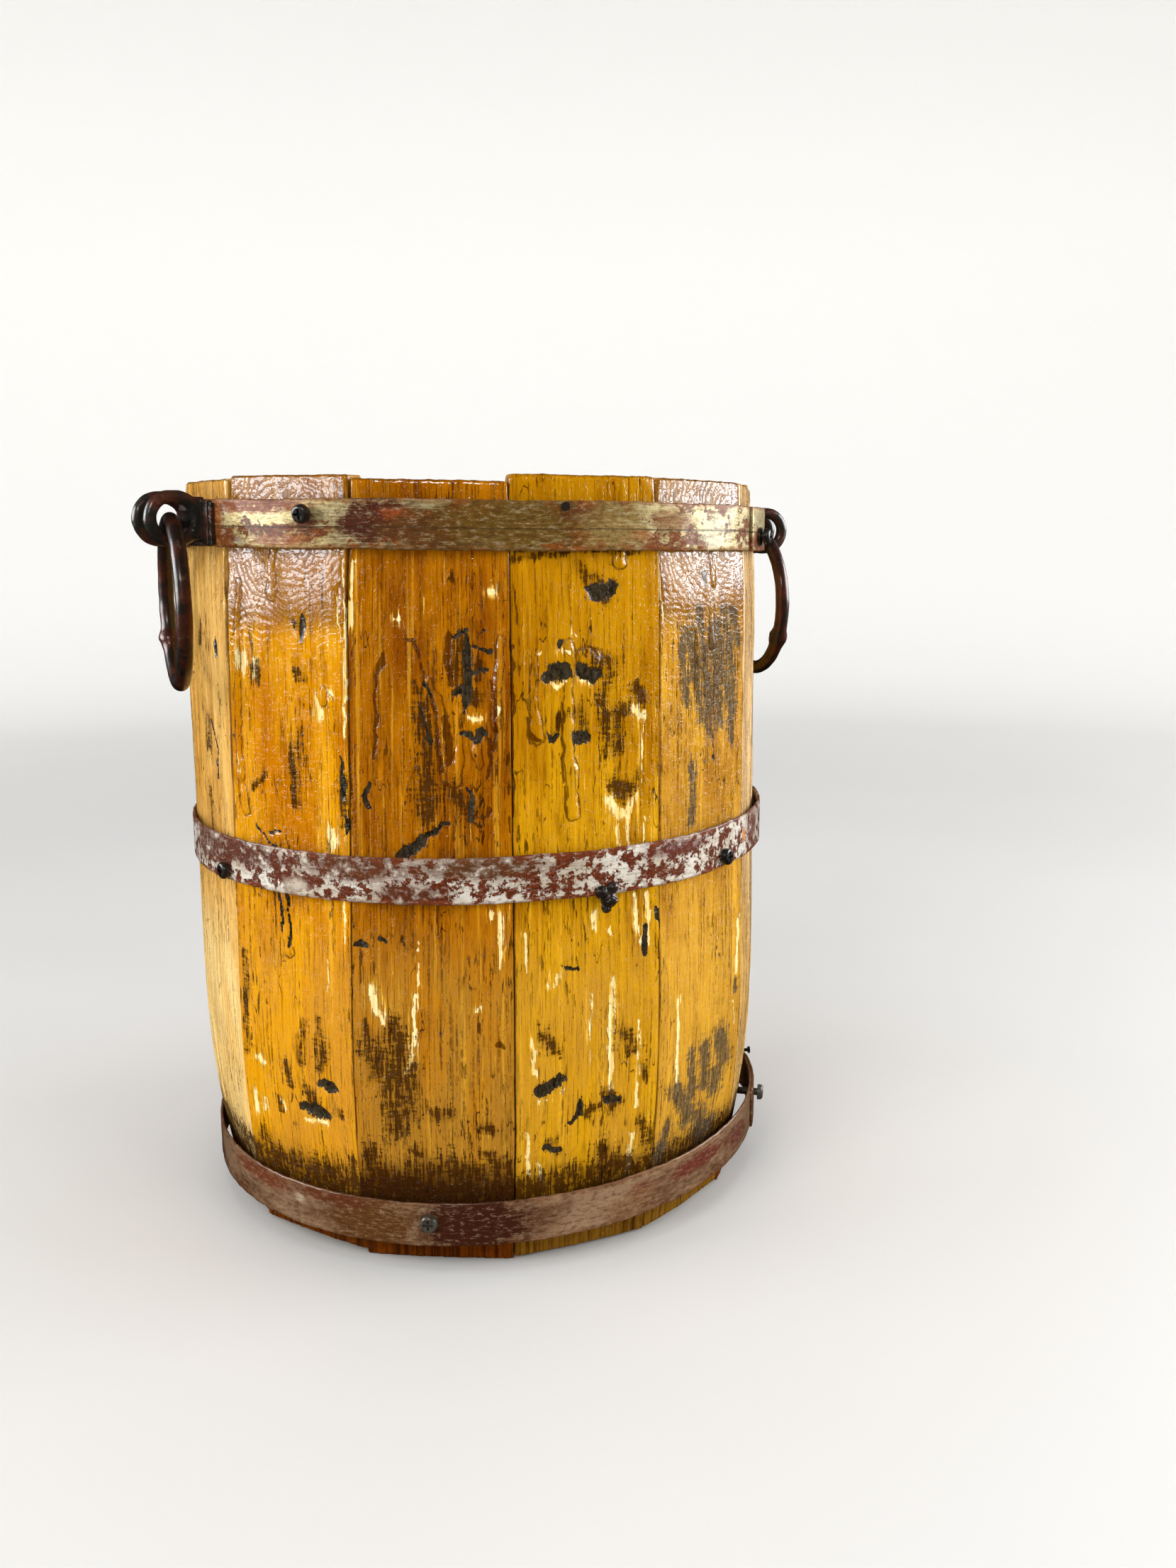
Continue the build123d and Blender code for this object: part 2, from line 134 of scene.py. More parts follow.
def new_piece(name, points, faces, material, body, replaced, layers=None):
    """A smooth-shaded piece that rides on a body and stands for the CAD nodes given.

    Layers are named vectors stored on its points for the material to read.
    """
    mesh = bpy.data.meshes.new(name)
    if isinstance(faces, np.ndarray):
        mesh.vertices.add(len(points))
        mesh.vertices.foreach_set("co", np.asarray(points, dtype=np.float32).ravel())
        mesh.loops.add(faces.size)
        mesh.loops.foreach_set("vertex_index", faces.astype(np.int32).ravel())
        mesh.polygons.add(len(faces))
        mesh.polygons.foreach_set("loop_start", np.arange(0, faces.size, 4, dtype=np.int32))
        mesh.update(calc_edges=True)
    else:
        mesh.from_pydata([tuple(point) for point in points], [], faces)
    mesh.polygons.foreach_set("use_smooth", [True] * len(mesh.polygons))
    for key, parts in (layers or {}).items():
        layer = mesh.attributes.new(key, "FLOAT_VECTOR", "POINT")
        layer.data.foreach_set("vector", np.stack(parts, axis=1).astype(np.float32).ravel())
    mesh.materials.append(material)
    mesh.update()
    piece = bpy.data.objects.new(name, mesh)
    bpy.context.scene.collection.objects.link(piece)
    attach(piece, body)
    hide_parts(*replaced)


def dress(node, material):
    """Gives a material to a CAD node that keeps its shape."""
    for slot in frame["nodes"][node].material_slots:
        slot.material = material


# ---- shader helpers


def srgb(red, green, blue):
    """A colour given as it looks on a screen, 0 to 255, in the linear values a shader takes."""

    def linear(value):
        value /= 255
        return value / 12.92 if value <= 0.04045 else ((value + 0.055) / 1.055) ** 2.4

    return (linear(red), linear(green), linear(blue), 1.0)


class Shader:
    """Builds a material's nodes from short calls, each of which gives back an output socket.

    Colours are given as they look on a screen, 0 to 255. The colour so far is kept in colour, and
    the coordinates that grain is laid over in place.
    """

    def __init__(self, name):
        self.material = bpy.data.materials.new(name)
        self.material.use_nodes = True
        self.tree = self.material.node_tree
        self.tree.nodes.clear()

    def fill(self, socket, value):
        if isinstance(value, bpy.types.NodeSocket):
            self.tree.links.new(value, socket)
        else:
            socket.default_value = value

    def node(self, kind, inputs=None, **settings):
        made = self.tree.nodes.new(kind)
        for key, value in settings.items():
            setattr(made, key, value)
        for key, value in (inputs or {}).items():
            self.fill(made.inputs[key], value)
        return made

    def attribute(self, name):
        return self.node("ShaderNodeAttribute", attribute_name=name).outputs["Vector"]

    def split(self, vector):
        return self.node("ShaderNodeSeparateXYZ", {0: vector}).outputs

    def math(self, operation, first, second=0.0, clamp=False):
        inputs = {0: first, 1: second}
        return self.node("ShaderNodeMath", inputs, operation=operation, use_clamp=clamp).outputs[0]

    def chain(self, operation, values):
        total = values[0]
        for value in values[1:]:
            total = self.math(operation, total, value)
        return total

    def plus(self, *values):
        return self.chain("ADD", values)

    def times(self, *values):
        return self.chain("MULTIPLY", values)

    def most(self, *values):
        return self.chain("MAXIMUM", values)

    def minus(self, first, second):
        return self.math("SUBTRACT", first, second)

    def size(self, value):
        return self.math("ABSOLUTE", value)

    def gap(self, value, level):
        """How far the value is from a level, either way."""
        return self.size(self.minus(value, level))

    def swing(self, value, reach):
        """How far the value is above 0.5, times a reach."""
        return self.times(self.minus(value, 0.5), reach)

    def length(self, dx, dz):
        return self.math("SQRT", self.plus(self.times(dx, dx), self.times(dz, dz)))

    def stretch(self, vector, scale, location=(0, 0, 0)):
        inputs = {"Vector": vector, "Scale": scale, "Location": location}
        return self.node("ShaderNodeMapping", inputs).outputs[0]

    def noise(self, vector, scale, detail, roughness, distortion=0.0):
        inputs = {"Vector": vector, "Scale": scale, "Detail": detail}
        inputs.update({"Roughness": roughness, "Distortion": distortion})
        return self.node("ShaderNodeTexNoise", inputs).outputs["Fac"]

    def grain(self, scale, detail, roughness, shift=(0, 0, 0), distortion=0.0):
        """Noise over the piece, as fine in each direction as the scale says."""
        stretched = self.stretch(self.place, scale, shift)
        return self.noise(stretched, 1, detail, roughness, distortion)

    def rise(self, value, low, high):
        """0 below low, 1 above high, smooth between; low above high gives a fall."""
        inputs = {"Value": value, "From Min": low, "From Max": high}
        made = self.node("ShaderNodeMapRange", inputs, interpolation_type="SMOOTHSTEP")
        return made.outputs["Result"]

    def mix(self, factor, first, second):
        made = self.node("ShaderNodeMix", data_type="RGBA")
        for index, value in ((0, factor), (6, first), (7, second)):
            self.fill(made.inputs[index], srgb(*value) if isinstance(value, tuple) else value)
        return made.outputs[2]

    def paint(self, tone, *amounts):
        """Lays a tone over the colour so far, as strongly as the amounts multiplied together."""
        self.colour = self.mix(self.times(*amounts), self.colour, tone)

    def bump(self, height, distance, strength):
        inputs = {"Height": height, "Distance": distance, "Strength": strength}
        return self.node("ShaderNodeBump", inputs).outputs[0]

    def finish(self, roughness, normal, **others):
        surface = self.node("ShaderNodeBsdfPrincipled", {"Base Color": self.colour})
        self.fill(surface.inputs["Roughness"], roughness)
        self.fill(surface.inputs["Normal"], normal)
        for key, value in others.items():
            self.fill(surface.inputs[key.replace("_", " ")], value)
        self.node("ShaderNodeOutputMaterial", {"Surface": surface.outputs[0]})
        return self.material


# ---- staves: what each one shows

# base and shade colours of the staves, as seen
AMBER, MUSTARD, DEEP = (
    ((220, 150, 4), (184, 108, 0)), ((200, 144, 10), (158, 100, 0)), ((174, 106, 2), (124, 62, 0)),
)
TAN, HONEY, SAND = (
    ((242, 192, 106), (212, 154, 68)), ((206, 152, 44), (168, 112, 24)),
    ((240, 202, 148), (212, 168, 108)),
)
STAVE_COLOURS = [
    TAN, AMBER, DEEP, MUSTARD, HONEY, SAND, HONEY, AMBER, MUSTARD, HONEY, DEEP, AMBER, MUSTARD,
]
# the tone that shows low down, where the varnish is thin, and how strongly
PALE_LOW = {1: ((255, 220, 146), 0.9)}
PALE_LOW_ELSEWHERE = ((222, 170, 58), 0.34)

SAW_ARCS = {2: (6, 352), 4: (-14, 372), 5: (30, 360)}  # centres of the saw's arcs near the rim, mm
SAW_ARC_PITCH = 2100  # radians for each metre from the centre
THICK_NEAR_RIM = (2, 5)  # staves whose varnish lies thick and smooth near the rim
SHADED_ABOVE = (4,)  # staves that get darker towards the rim
DULL_FEET = (4, 5)  # staves whose feet are less red
BAND_DARKNESS = {2: 0.30, 3: 0.85, 4: 0.30, 5: 0.35}  # darkness of the band just above the bottom hoop

# what has happened to the front staves, for each kind of mark and each stave's number, except a few
# cream strokes by the joints near the rim, which are painted glints on the varnish. Strokes are
# parted by semicolons, and each point of a stroke is its place across, its height and the stroke's
# half width there, in mm
MARKS = {
    "black": {
        1: "20.5,302,2 22,297,1.6; 9,261,1.2 17.5,247,1 15.5,234,1.2",
        2: """
2.5,75,1.6 10,75,3.5 19,73,3; 16,89,1.6 22.5,89,2.6 27,88,1.2;
12,317,1.2 12,311,1.6 10.5,306,0.6; 5.5,314,0.6 7.5,309,0.6;
33,252,0.8 34.5,242,1 34.5,234,1.2; 35,225,0.8 36.5,222,1.4 35.5,216,0.8;
-7,183,0.8 -5,170,1.2 -4,158,0.8 -2.5,153,0.4; -1,183,0.4 0,169,0.4 -0.5,157,0.4;
-23,215,0.4 -14,208,0.6 -8.5,205,0.6; -14,212,0.6 -9,213,0.6 -4,213,0.6""",
        3: """
-14,206,3 -7,211,2.6 -0.5,217,1.6 8.5,223,0.6; -28.5,229,1.2 -31,234,1.6 -28.5,240,1;
15.5,263,1.2 19,262,1.6 21.5,261,1.4 24,264,1.8 26,264,1; 11,308,0.8 14,309,1.2 17.5,310,0.8;
17.5,307,1.2 17.5,299,2 18,291,1.6 17.5,282,1.6 16,273,1.2; 13.5,283,2.2 15.5,285,1.6;
20.5,303,0.8 23.5,302,0.8 28.5,300,1.2; 27.5,310,0.6 24.5,310,0.6;
20,291,0.8 24,292,0.8 28,293,0.8; -2.5,287,1.2 0,286,1 1,280,0.6;
17,239,0.6 19.5,234,1.4 18.5,223,1.2; 1,259,0.6 -3.5,275,0.6; -35,164,1.6 -31,163,1.2;
-24.5,166,1.2 -22,166,1""",
        4: """
-21.5,288,1.6 -17,291,4 -13,291,4; -3,290,3.5 1,289,3.5 5.5,289,2;
-26,90,3 -21.5,92,3.5 -16,95,3; -0.5,329,1.6 4.5,326,4.5 12.5,328,3.5; -6.5,260,3 -2,260,2.6;
-18.5,260,2.4 -16,261,1.6; -12,69,0.4 -7.5,73,1.4 -5,76,1.8 -5,84,0.6;
-13.5,151,0.8 -6.5,149,0.8; 9,80,2.2 16,78,1.6; -22.5,60,1.8 -15.5,58,1.8;
29.5,166,1.2 29,152,1.6; 35,173,1.4 37,166,1.2; -14,303,1 -13.5,305,1.4""",
        5: "7,252,0.8 7.5,241,0.8",
    },
    "brown": {
        3: """
-10.5,306,0.6 -6.5,306,1 -3.5,299,0.6 -2.5,288,0.6;
-21,299,1.2 -23.5,293,1.2 -25,285,0.8 -25,275,1 -25.5,262,1 -26.5,252,0.6;
9.5,307,2 8.5,298,1.6 10.5,286,1; 1,280,0.8 3,272,0.8 4.5,259,0.8 6,246,0.8;
7.5,272,1.2 9,260,1.6 9.5,249,1; 12.5,272,0.6 10.5,274,0.6;
29,288,0.6 30.5,280,0.6 31,265,0.6 29.5,256,0.8; 28,262,0.8 28,252,0.8 26,242,0.6;
27.5,229,1.2 26.5,226,1; 30.5,115,1.4 32.5,114,1.2""",
        4: """
-37,304,0.6 -37,288,0.8 -37,272,0.6 -37.5,259,0.8 -37,242,0.6 -37,226,0.6;
-13,277,0.4 -13,254,0.6 -12.5,237,0.6 -12,224,0.6; -30.5,271,0.4 -28,260,0.8 -25,259,0.4;
4,276,0.6 6.5,272,0.6; -3,296,0.6 -1,300,0.6 2.5,301,0.6 6,296,0.6""",
    },
    "cream": {
        # on stave 2 the last two cream strokes, by the joint near the rim, are painted glints, not
        # flakes
        2: """
3.5,68,0.8 12.5,69,1.2 20,68,1; 21,271,2.6 19.5,277,0.8 19,282,0.6; 26.5,283,1.4 29,281,1;
26.5,216,4 28.5,212,3.5; -8,215,0.6 -6,212,0.6; -28,297,3.5 -27.5,290,2.4;
-20,295,1.8 -19.5,288,1.4; 34.5,186,0.4 33,164,0.8; -32.5,250,1.2 -32,240,1;
24,155,0.6 23,138,0.6; -26.5,95,1.6 -22.5,92,2; -31,75,1.4 -30.5,65,1.8;
-23.5,73,1.4 -24,65,1.2; -10,74,1.2 -9,69,1; 36,342,0.7 36.5,300,0.9 36,262,0.5;
33,330,0.6 33.5,306,0.8""",
        # on stave 3 the cream stroke from -36,326 to -35,342 is a painted glint, not a flake
        3: """
-15.5,316,1 -13.5,316,1.6; 28,328,1; 30.5,328,1.2; 31.5,277,1 32,270,0.6; 19,271,1 24,270,1.2;
-37,323,1.6 -37.5,313,1.8; -36,326,0.8 -35,342,1; 28,181,1.2 27.5,176,0.8;
32,179,1.4 31.5,164,1.4 30.5,153,0.4; 22,135,1 20.5,131,0.8; -6,172,0.4 -7,144,0.8;
-7.5,141,0.8 -9,120,1.8 -10,106,1.6 -12.5,102,1; -29,142,2 -26.5,133,2.6 -23.5,126,1.6""",
        4: """
-20,286,0.8 -16,284,1.2 -11.5,287,1.8; -4,286,0.8 1,286,1.2; -24.5,299,1.6;
-13,301,1.6 -10,300,1; -7,308,1; 23,272,2.8 28.5,268,3.5;
11.5,229,2.4 16,221,3 22,224,2.6 24.5,231,1.2; 14.5,218,1 15,206,0.8; 19.5,218,1 20.5,207,0.8;
29,220,0.6 29,206,0.6; 28,264,0.8 27.5,251,1 28,237,0.6; -26,84,1.2 -22.5,85,0.8;
-13,90,0.8 -16,87,0.6; -32,168,1 -31.5,161,1 -32,149,0.4; 2,175,1.6 2,168,1.4;
10.5,167,0.8 12.5,161,0.8; 24,181,1.4 25,168,1.2 28,155,0.8;
30.5,182,1 31.5,167,1.2 31.5,156,0.8; -17,147,2 -17.5,143,1.2; -21.5,143,0.8;
0.5,136,1.2 0.5,122,1.6 0.5,100,0.8; 12,142,0.8 11,124,1.4 11,106,2.6 11,84,1.6;
26,118,1 26.5,96,1.2 25.5,73,1; -29.5,118,1.2 -28.5,108,1.2 -28,99,1;
24.5,58,1.6 24,42,2 22,36,1.2; -32,69,1 -31,46,1; -25.5,52,0.8 -23.5,40,0.8""",
        # on stave 5 the last cream stroke, by the joint near the rim, is a painted glint, not a
        # flake
        5: """
-22.5,123,1.4 -21.5,108,1.6 -22,89,1.4 -20,69,1; 34,154,1 32.5,139,1.2 31.5,124,0.8;
29,109,0.8 31,96,0.8; -37,345,0.8 -36,322,1.2 -34,312,0.8""",
    },
    "soot": {
        1: "-3,309,5 -5,302,4; 4,262,5 2,250,6; 0,226,3 2,208,3",
        2: """
17,122,3 17.5,108,5 17.5,97,4; 7.5,84,4 11.5,79,5; -6,96,2.4 -4,85,3;
-32.5,150,2 -32.5,128,2.6 -34.5,97,2.8; -27.5,52,6 -18.5,42,7 -3.5,42,6; -13,76,2 -11.5,68,2;
27.5,77,3 29.5,74,2; 34.5,52,4 34,44,4; 7.5,121,2 4,98,2.4; 34.5,245,2.4 34.5,232,3 35.5,220,3;
10,263,3 4.5,246,4 5.5,229,4; 9,313,3 11.5,306,2.4; -23,233,2 -14,241,1.6;
9.5,292,3.5 11,287,2.4; -18.5,292,4 -17.5,285,3""",
        3: """
-5,278,5 -0.5,262,6.5 -1.5,242,8 -1.5,226,8; 11.5,236,5 19.5,226,5.5;
13.5,304,5 13,288,5 21.5,280,5; 22.5,294,4 23,288,3; -6.5,288,2 -5,282,3;
-32,126,2 -29,116,6 -26,101,7.5; -18.5,126,5 -16.5,109,8.5 -19.5,91,8 -18.5,72,6;
-9,106,4 -11.5,80,6; -31.5,60,5 -29,45,8 -11.5,42,9; -7.5,50,8 9.5,49,10 26.5,47,9;
23.5,58,4 33.5,51,6 37,43,4; -10.5,61,3 -7.5,58,4; 21,74,4 27.5,72,3; 0.5,79,5 7.5,81,4""",
        4: """
18.5,272,3 10.5,269,5.5 13,254,6.5; 11,295,4 7.5,276,4; 4,297,3.5 2.5,291,3;
-5,273,4 -3.5,266,4; -14,270,3 -16,264,3; -6,338,3 1,333,5 8,325,5.5; -35.5,343,2 -30,345,2;
-36,341,2 -9,345,1.6 27,344,1.6; -23,118,4 -17.5,110,4; 8.5,84,4 14.5,76,4.5;
18,115,4 22,104,5; -1,75,3 4.5,77,3; 7.5,54,5 15.5,44,7 24,42,5; -19,61,4.5 -15.5,56,3.5;
-11.5,46,5 -5,37,4; 28,95,3 30.5,87,3; 29,65,4 35.5,51,6; 24,281,4 28,276,5;
13,236,5 18.5,233,6 22,234,5""",
    },
    "grey": {
        5: """
-20,308,3 -19.5,296,4 -17.5,282,3.5 -15.5,272,3;
-6.5,316,3 -3.5,302,4 1,281,5.5 3,263,5 5,252,2; 10.5,308,4 15,287,6 23.5,264,5 25.5,246,3;
16,315,3 26.5,314,3 30.5,300,4; -12,240,3 -10.5,226,3.5 -11.5,212,4; -2.5,334,2.6 -1.5,329,1.4;
17,93,6 21.5,79,8 13,66,8; -10,93,3 -8,69,5 -12,54,4; 13,46,6 7,40,6; -27,56,4 -31,45,6;
31,120,2 31,114,2; -14,304,6 -9,284,7 -3,264,5; 5,306,6 10,284,8 12,262,6;
20,308,5 24,288,6 26,262,5; -22,74,6 -10,60,7 4,50,7; 2,92,5 4,70,6""",
    },
    "drip": {
        2: """
-6,347,1.2 -6.5,335,1.6 -7,327,2.4; -2,183,1.2 -2.5,169,1.4 -2,158,1.6 -1,154,2.2;
24,283,1.4 23.5,277,1.6; 28.5,279,0.8 29,264,1;
-29,332,1.2 -31.5,305,1.4 -32,271,1.4 -31.5,236,1.6 -28.5,222,1.8""",
        3: """
10.5,244,3 8.5,247,2.6 7,256,1.8 5,272,1.6 2,283,1.2 0,288,1.2;
33.5,307,1 32.5,294,1.2 31,281,1.2 31,268,1.4; 14,262,1 14,252,1.4 12.5,247,1.8;
21.5,260,1.2 22.5,249,1.4""",
        4: """
-9.5,304,1.2 -10,286,1.6 -10,260,1.6 -8.5,240,1.8 -8,224,2; -1,296,3.5 1,294,3.5 3.5,296,3;
-26.5,294,1.2 -27,274,1.4 -26,261,2.2; 16.5,344,1.2 16.5,340,2.4""",
        5: """
-9.5,309,1.2 -7,295,1.4 -8,278,1.4; 5,319,1.2 4.5,305,1.6 5.5,298,2;
4,343,1.2 5.5,336,1.4 6.5,329,2""",
    },
}


FINEST_STROKE = 0.55  # half width, mm


def mark_field(kind, number, x, z):
    """How deep each point lies in this kind of mark: 1 on a stroke's middle, 0.5 on its edge."""
    place = np.stack([x, z, np.full_like(x, number)], axis=1)
    x = x + 3.2 * sway(place / [3.0, 5.0, 1], 3, 71)
    z = z + 4.6 * sway(place / [3.0, 5.0, 1], 3, 77)
    field = np.zeros_like(x)
    strokes = MARKS[kind].get(number)
    for stroke in strokes.split(";") if strokes else ():
        points = np.array(stroke.replace(",", " ").split(), dtype=float).reshape(-1, 3)
        if len(points) == 1:
            points = np.concatenate([points, points + [0.0, 0.5, 0.0]])
        for start, end in zip(points[:-1], points[1:]):
            along = end[:2] - start[:2]
            share = ((x - start[0]) * along[0] + (z - start[1]) * along[1]) / (along @ along)
            share = np.clip(share, 0, 1)
            distance = np.hypot(x - start[0] - share * along[0], z - start[1] - share * along[1])
            half = np.maximum(start[2] + share * (end[2] - start[2]), FINEST_STROKE)
            field = np.maximum(field, 1 / (1 + (distance / half) ** 2))
    return field


# ---- staves: shape


def section_corners(node, azimuth, height):
    """The four corners of a stave's level section: outer left and right, inner left and right."""
    points, triangles = stave_meshes[node]
    found = []
    for first, second in ((0, 1), (1, 2), (2, 0)):
        start, end = points[triangles[:, first]], points[triangles[:, second]]
        crossing = (start[:, 2] - height) * (end[:, 2] - height) < 0
        start, end = start[crossing], end[crossing]
        share = (height - start[:, 2]) / (end[:, 2] - start[:, 2])
        found.append(start + (end - start) * share[:, None])
    found = np.concatenate(found)
    out, side = found @ outward(azimuth), found @ sideways(azimuth)
    return [found[np.argmax(key)] for key in (out - side, out + side, -side - out, side - out)]


MID_HEIGHT = 0.19  # metres; about half of the staves' length


def stave_azimuth(node):
    """The azimuth of the middle of a stave's outer face."""
    points = stave_meshes[node][0]
    middle = (points.min(axis=0) + points.max(axis=0)) / 2
    for _ in range(3):
        azimuth = math.degrees(math.atan2(middle[0], -middle[1]))
        outer_left, outer_right = section_corners(node, azimuth, MID_HEIGHT)[:2]
        middle = (outer_left + outer_right) / 2
    return azimuth


LATTICE_COUNTS = {True: (84, 8, 300), False: (40, 7, 150)}  # finer for the front staves


def box_lattice(counts):
    """Lattice points on the surface of a box, and the quads between them."""
    index, faces = {}, []

    def corner(key):
        return index.setdefault(key, len(index))

    for axis in range(3):
        first, second = (axis + 1) % 3, (axis + 2) % 3
        for level in (0, counts[axis]):
            for i in range(counts[first]):
                for j in range(counts[second]):
                    quad = []
                    for di, dj in ((0, 0), (1, 0), (1, 1), (0, 1)):
                        key = [0, 0, 0]
                        key[axis], key[first], key[second] = level, i + di, j + dj
                        quad.append(corner(tuple(key)))
                    faces.append(quad if level else quad[::-1])
    return np.array(list(index)), np.array(faces)


def edge_dense(count, length, radius):
    """Positions along a length, closer together within the rounded ends."""
    ends = np.array([0.0, 0.3, 0.65]) * radius
    middle = np.linspace(radius, length - radius, count - 5)
    return np.concatenate([ends, middle, length - ends[::-1]])


def stave_relief(x, z, number, fields):
    """How far the outer face stands out from the planed shape, in metres; x and z in mm."""
    place = np.stack([x, z, np.full_like(x, number * 7.3)], axis=1)
    relief = 0.7 * sway(place / [26.0, 75.0, 1.0], 3, number)
    relief += 0.45 * sway(place / [3.6, 110.0, 1.0], 2, number + 11)
    relief += 0.16 * sway(place / [2.2, 12.0, 1.0], 2, number + 23)
    runs = smooth_step(layered_noise(place / [3.4, 38.0, 1.0], 2, number + 37), 0.64, 0.74)
    relief += 0.35 * runs + 1.5 * smooth_step(fields["drip"], 0.30, 0.80)
    if number in THICK_NEAR_RIM:
        relief *= 1 - 0.7 * smooth_step(z, 298.0, 312.0)
    for kind, depth, deepest in (("black", 0.7, 0.60), ("cream", 0.35, 0.60), ("brown", 0.3, 0.70)):
        relief -= depth * smooth_step(fields[kind], 0.42, deepest)
    return relief * MM


def build_stave(number, node, material):
    """A worn stave, lofted through the CAD stave's own sections."""
    azimuth = stave_azimuth(node)
    low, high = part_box(node)
    is_front = number <= FRONT_STAVES
    keys, faces = lattices[is_front]
    counts = LATTICE_COUNTS[is_front]

    # the groove for the bottom and the rim's bevel aren't part of the stave's plain taper
    levels = np.linspace(low.z + 4 * MM, high.z - 14 * MM, 40)
    levels = [level for level in levels if not 22 * MM < level < 35 * MM]
    corners = np.array([section_corners(node, azimuth, level) for level in levels])
    width = np.linalg.norm(corners[:, 1] - corners[:, 0], axis=1).mean()
    through = corners[:, 0] + corners[:, 1] - corners[:, 2] - corners[:, 3]
    depth = np.linalg.norm(through / 2, axis=1).mean()

    # height of the top at each side
    points = stave_meshes[node][0]
    rim = points[points[:, 2] > high.z - 12 * MM]
    side = rim @ sideways(azimuth)
    left_top = rim[side < side.min() + 3 * MM][:, 2].max()
    right_top = rim[side > side.max() - 3 * MM][:, 2].max()

    wear = 1.3 * MM
    length = high.z - low.z
    spans = (width, depth, length)
    grid = [edge_dense(count + 1, span, wear) for count, span in zip(counts, spans)]
    x, y, z = (grid[axis][keys[:, axis]] for axis in range(3))

    # edges are rounded by wear, more in some places than in others
    jitter = noise(np.stack([x / (60 * MM), y / (60 * MM), z / (14 * MM)], axis=1), number)
    deep_nick = smooth_step(jitter, 0.72, 0.95)
    radius = (0.5 + 0.5 * jitter + 1.5 * deep_nick) * MM
    radius += 1.6 * MM * smooth_step(z, length - 20 * MM, length)
    inner = [np.clip(at, radius, span - radius) for at, span in zip((x, y, z), spans)]
    inner = np.stack(inner, axis=1)
    away = np.stack([x, y, z], axis=1) - inner
    reach = np.linalg.norm(away, axis=1)
    scale = np.where(reach > 1e-9, np.minimum(1.0, radius / np.maximum(reach, 1e-9)), 0.0)
    x, y, z = (inner + away * scale[:, None]).T

    share = x / width
    top = left_top + (right_top - left_top) * share
    height = low.z + z * (top - low.z) / length
    place = np.zeros((len(x), 3))
    for axis in range(2):
        curves = [np.interp(height, levels, corners[:, corner, axis]) for corner in range(4)]
        outer_edge = curves[0] + (curves[1] - curves[0]) * share
        inner_edge = curves[2] + (curves[3] - curves[2]) * share
        place[:, axis] = outer_edge + (inner_edge - outer_edge) * y / depth
    place[:, 2] = height
    crown = 1.5 * MM * (1 - (2 * share - 1) ** 2)
    across = x - width / 2
    fields = {kind: mark_field(kind, number, across / MM, height / MM) for kind in MARKS}
    relief = stave_relief(across / MM, height / MM, number, fields)
    facing = 1 - smooth_step(y, 0.0, 2.2 * MM)
    middle_fade = np.minimum(1.0, np.minimum(x, width - x) / (3 * MM))
    place += outward(azimuth) * (crown + (relief * middle_fade) * facing)[:, None]

    # sawn, split and rubbed ends
    end_noise = sway(np.stack([x, y, 0 * x], axis=1) / (3.5 * MM), 3, number + 5)
    place[:, 2] += end_noise * 0.9 * MM * smooth_step(height, top - 3 * MM, top)
    foot_share = smooth_step(low.z + 3 * MM - height, 0.0, 3 * MM)
    place[:, 2] += np.maximum(end_noise, 0) * 0.8 * MM * foot_share
    place[:, 2] = np.maximum(place[:, 2], low.z)

    side_edge = np.minimum(x, width - x) / MM
    layers = {
        "board": [across, y, height],
        "chipped": [fields["black"], fields["cream"], fields["brown"]],
        "dirtied": [fields["soot"], fields["grey"], fields["drip"]],
        "edges": [side_edge, (top - height) / MM, 0 * x],
    }
    name = node.replace("stave", "worn_stave")
    new_piece(name, place, faces, material, "tub", [node], layers)


# ---- staves: varnished wood


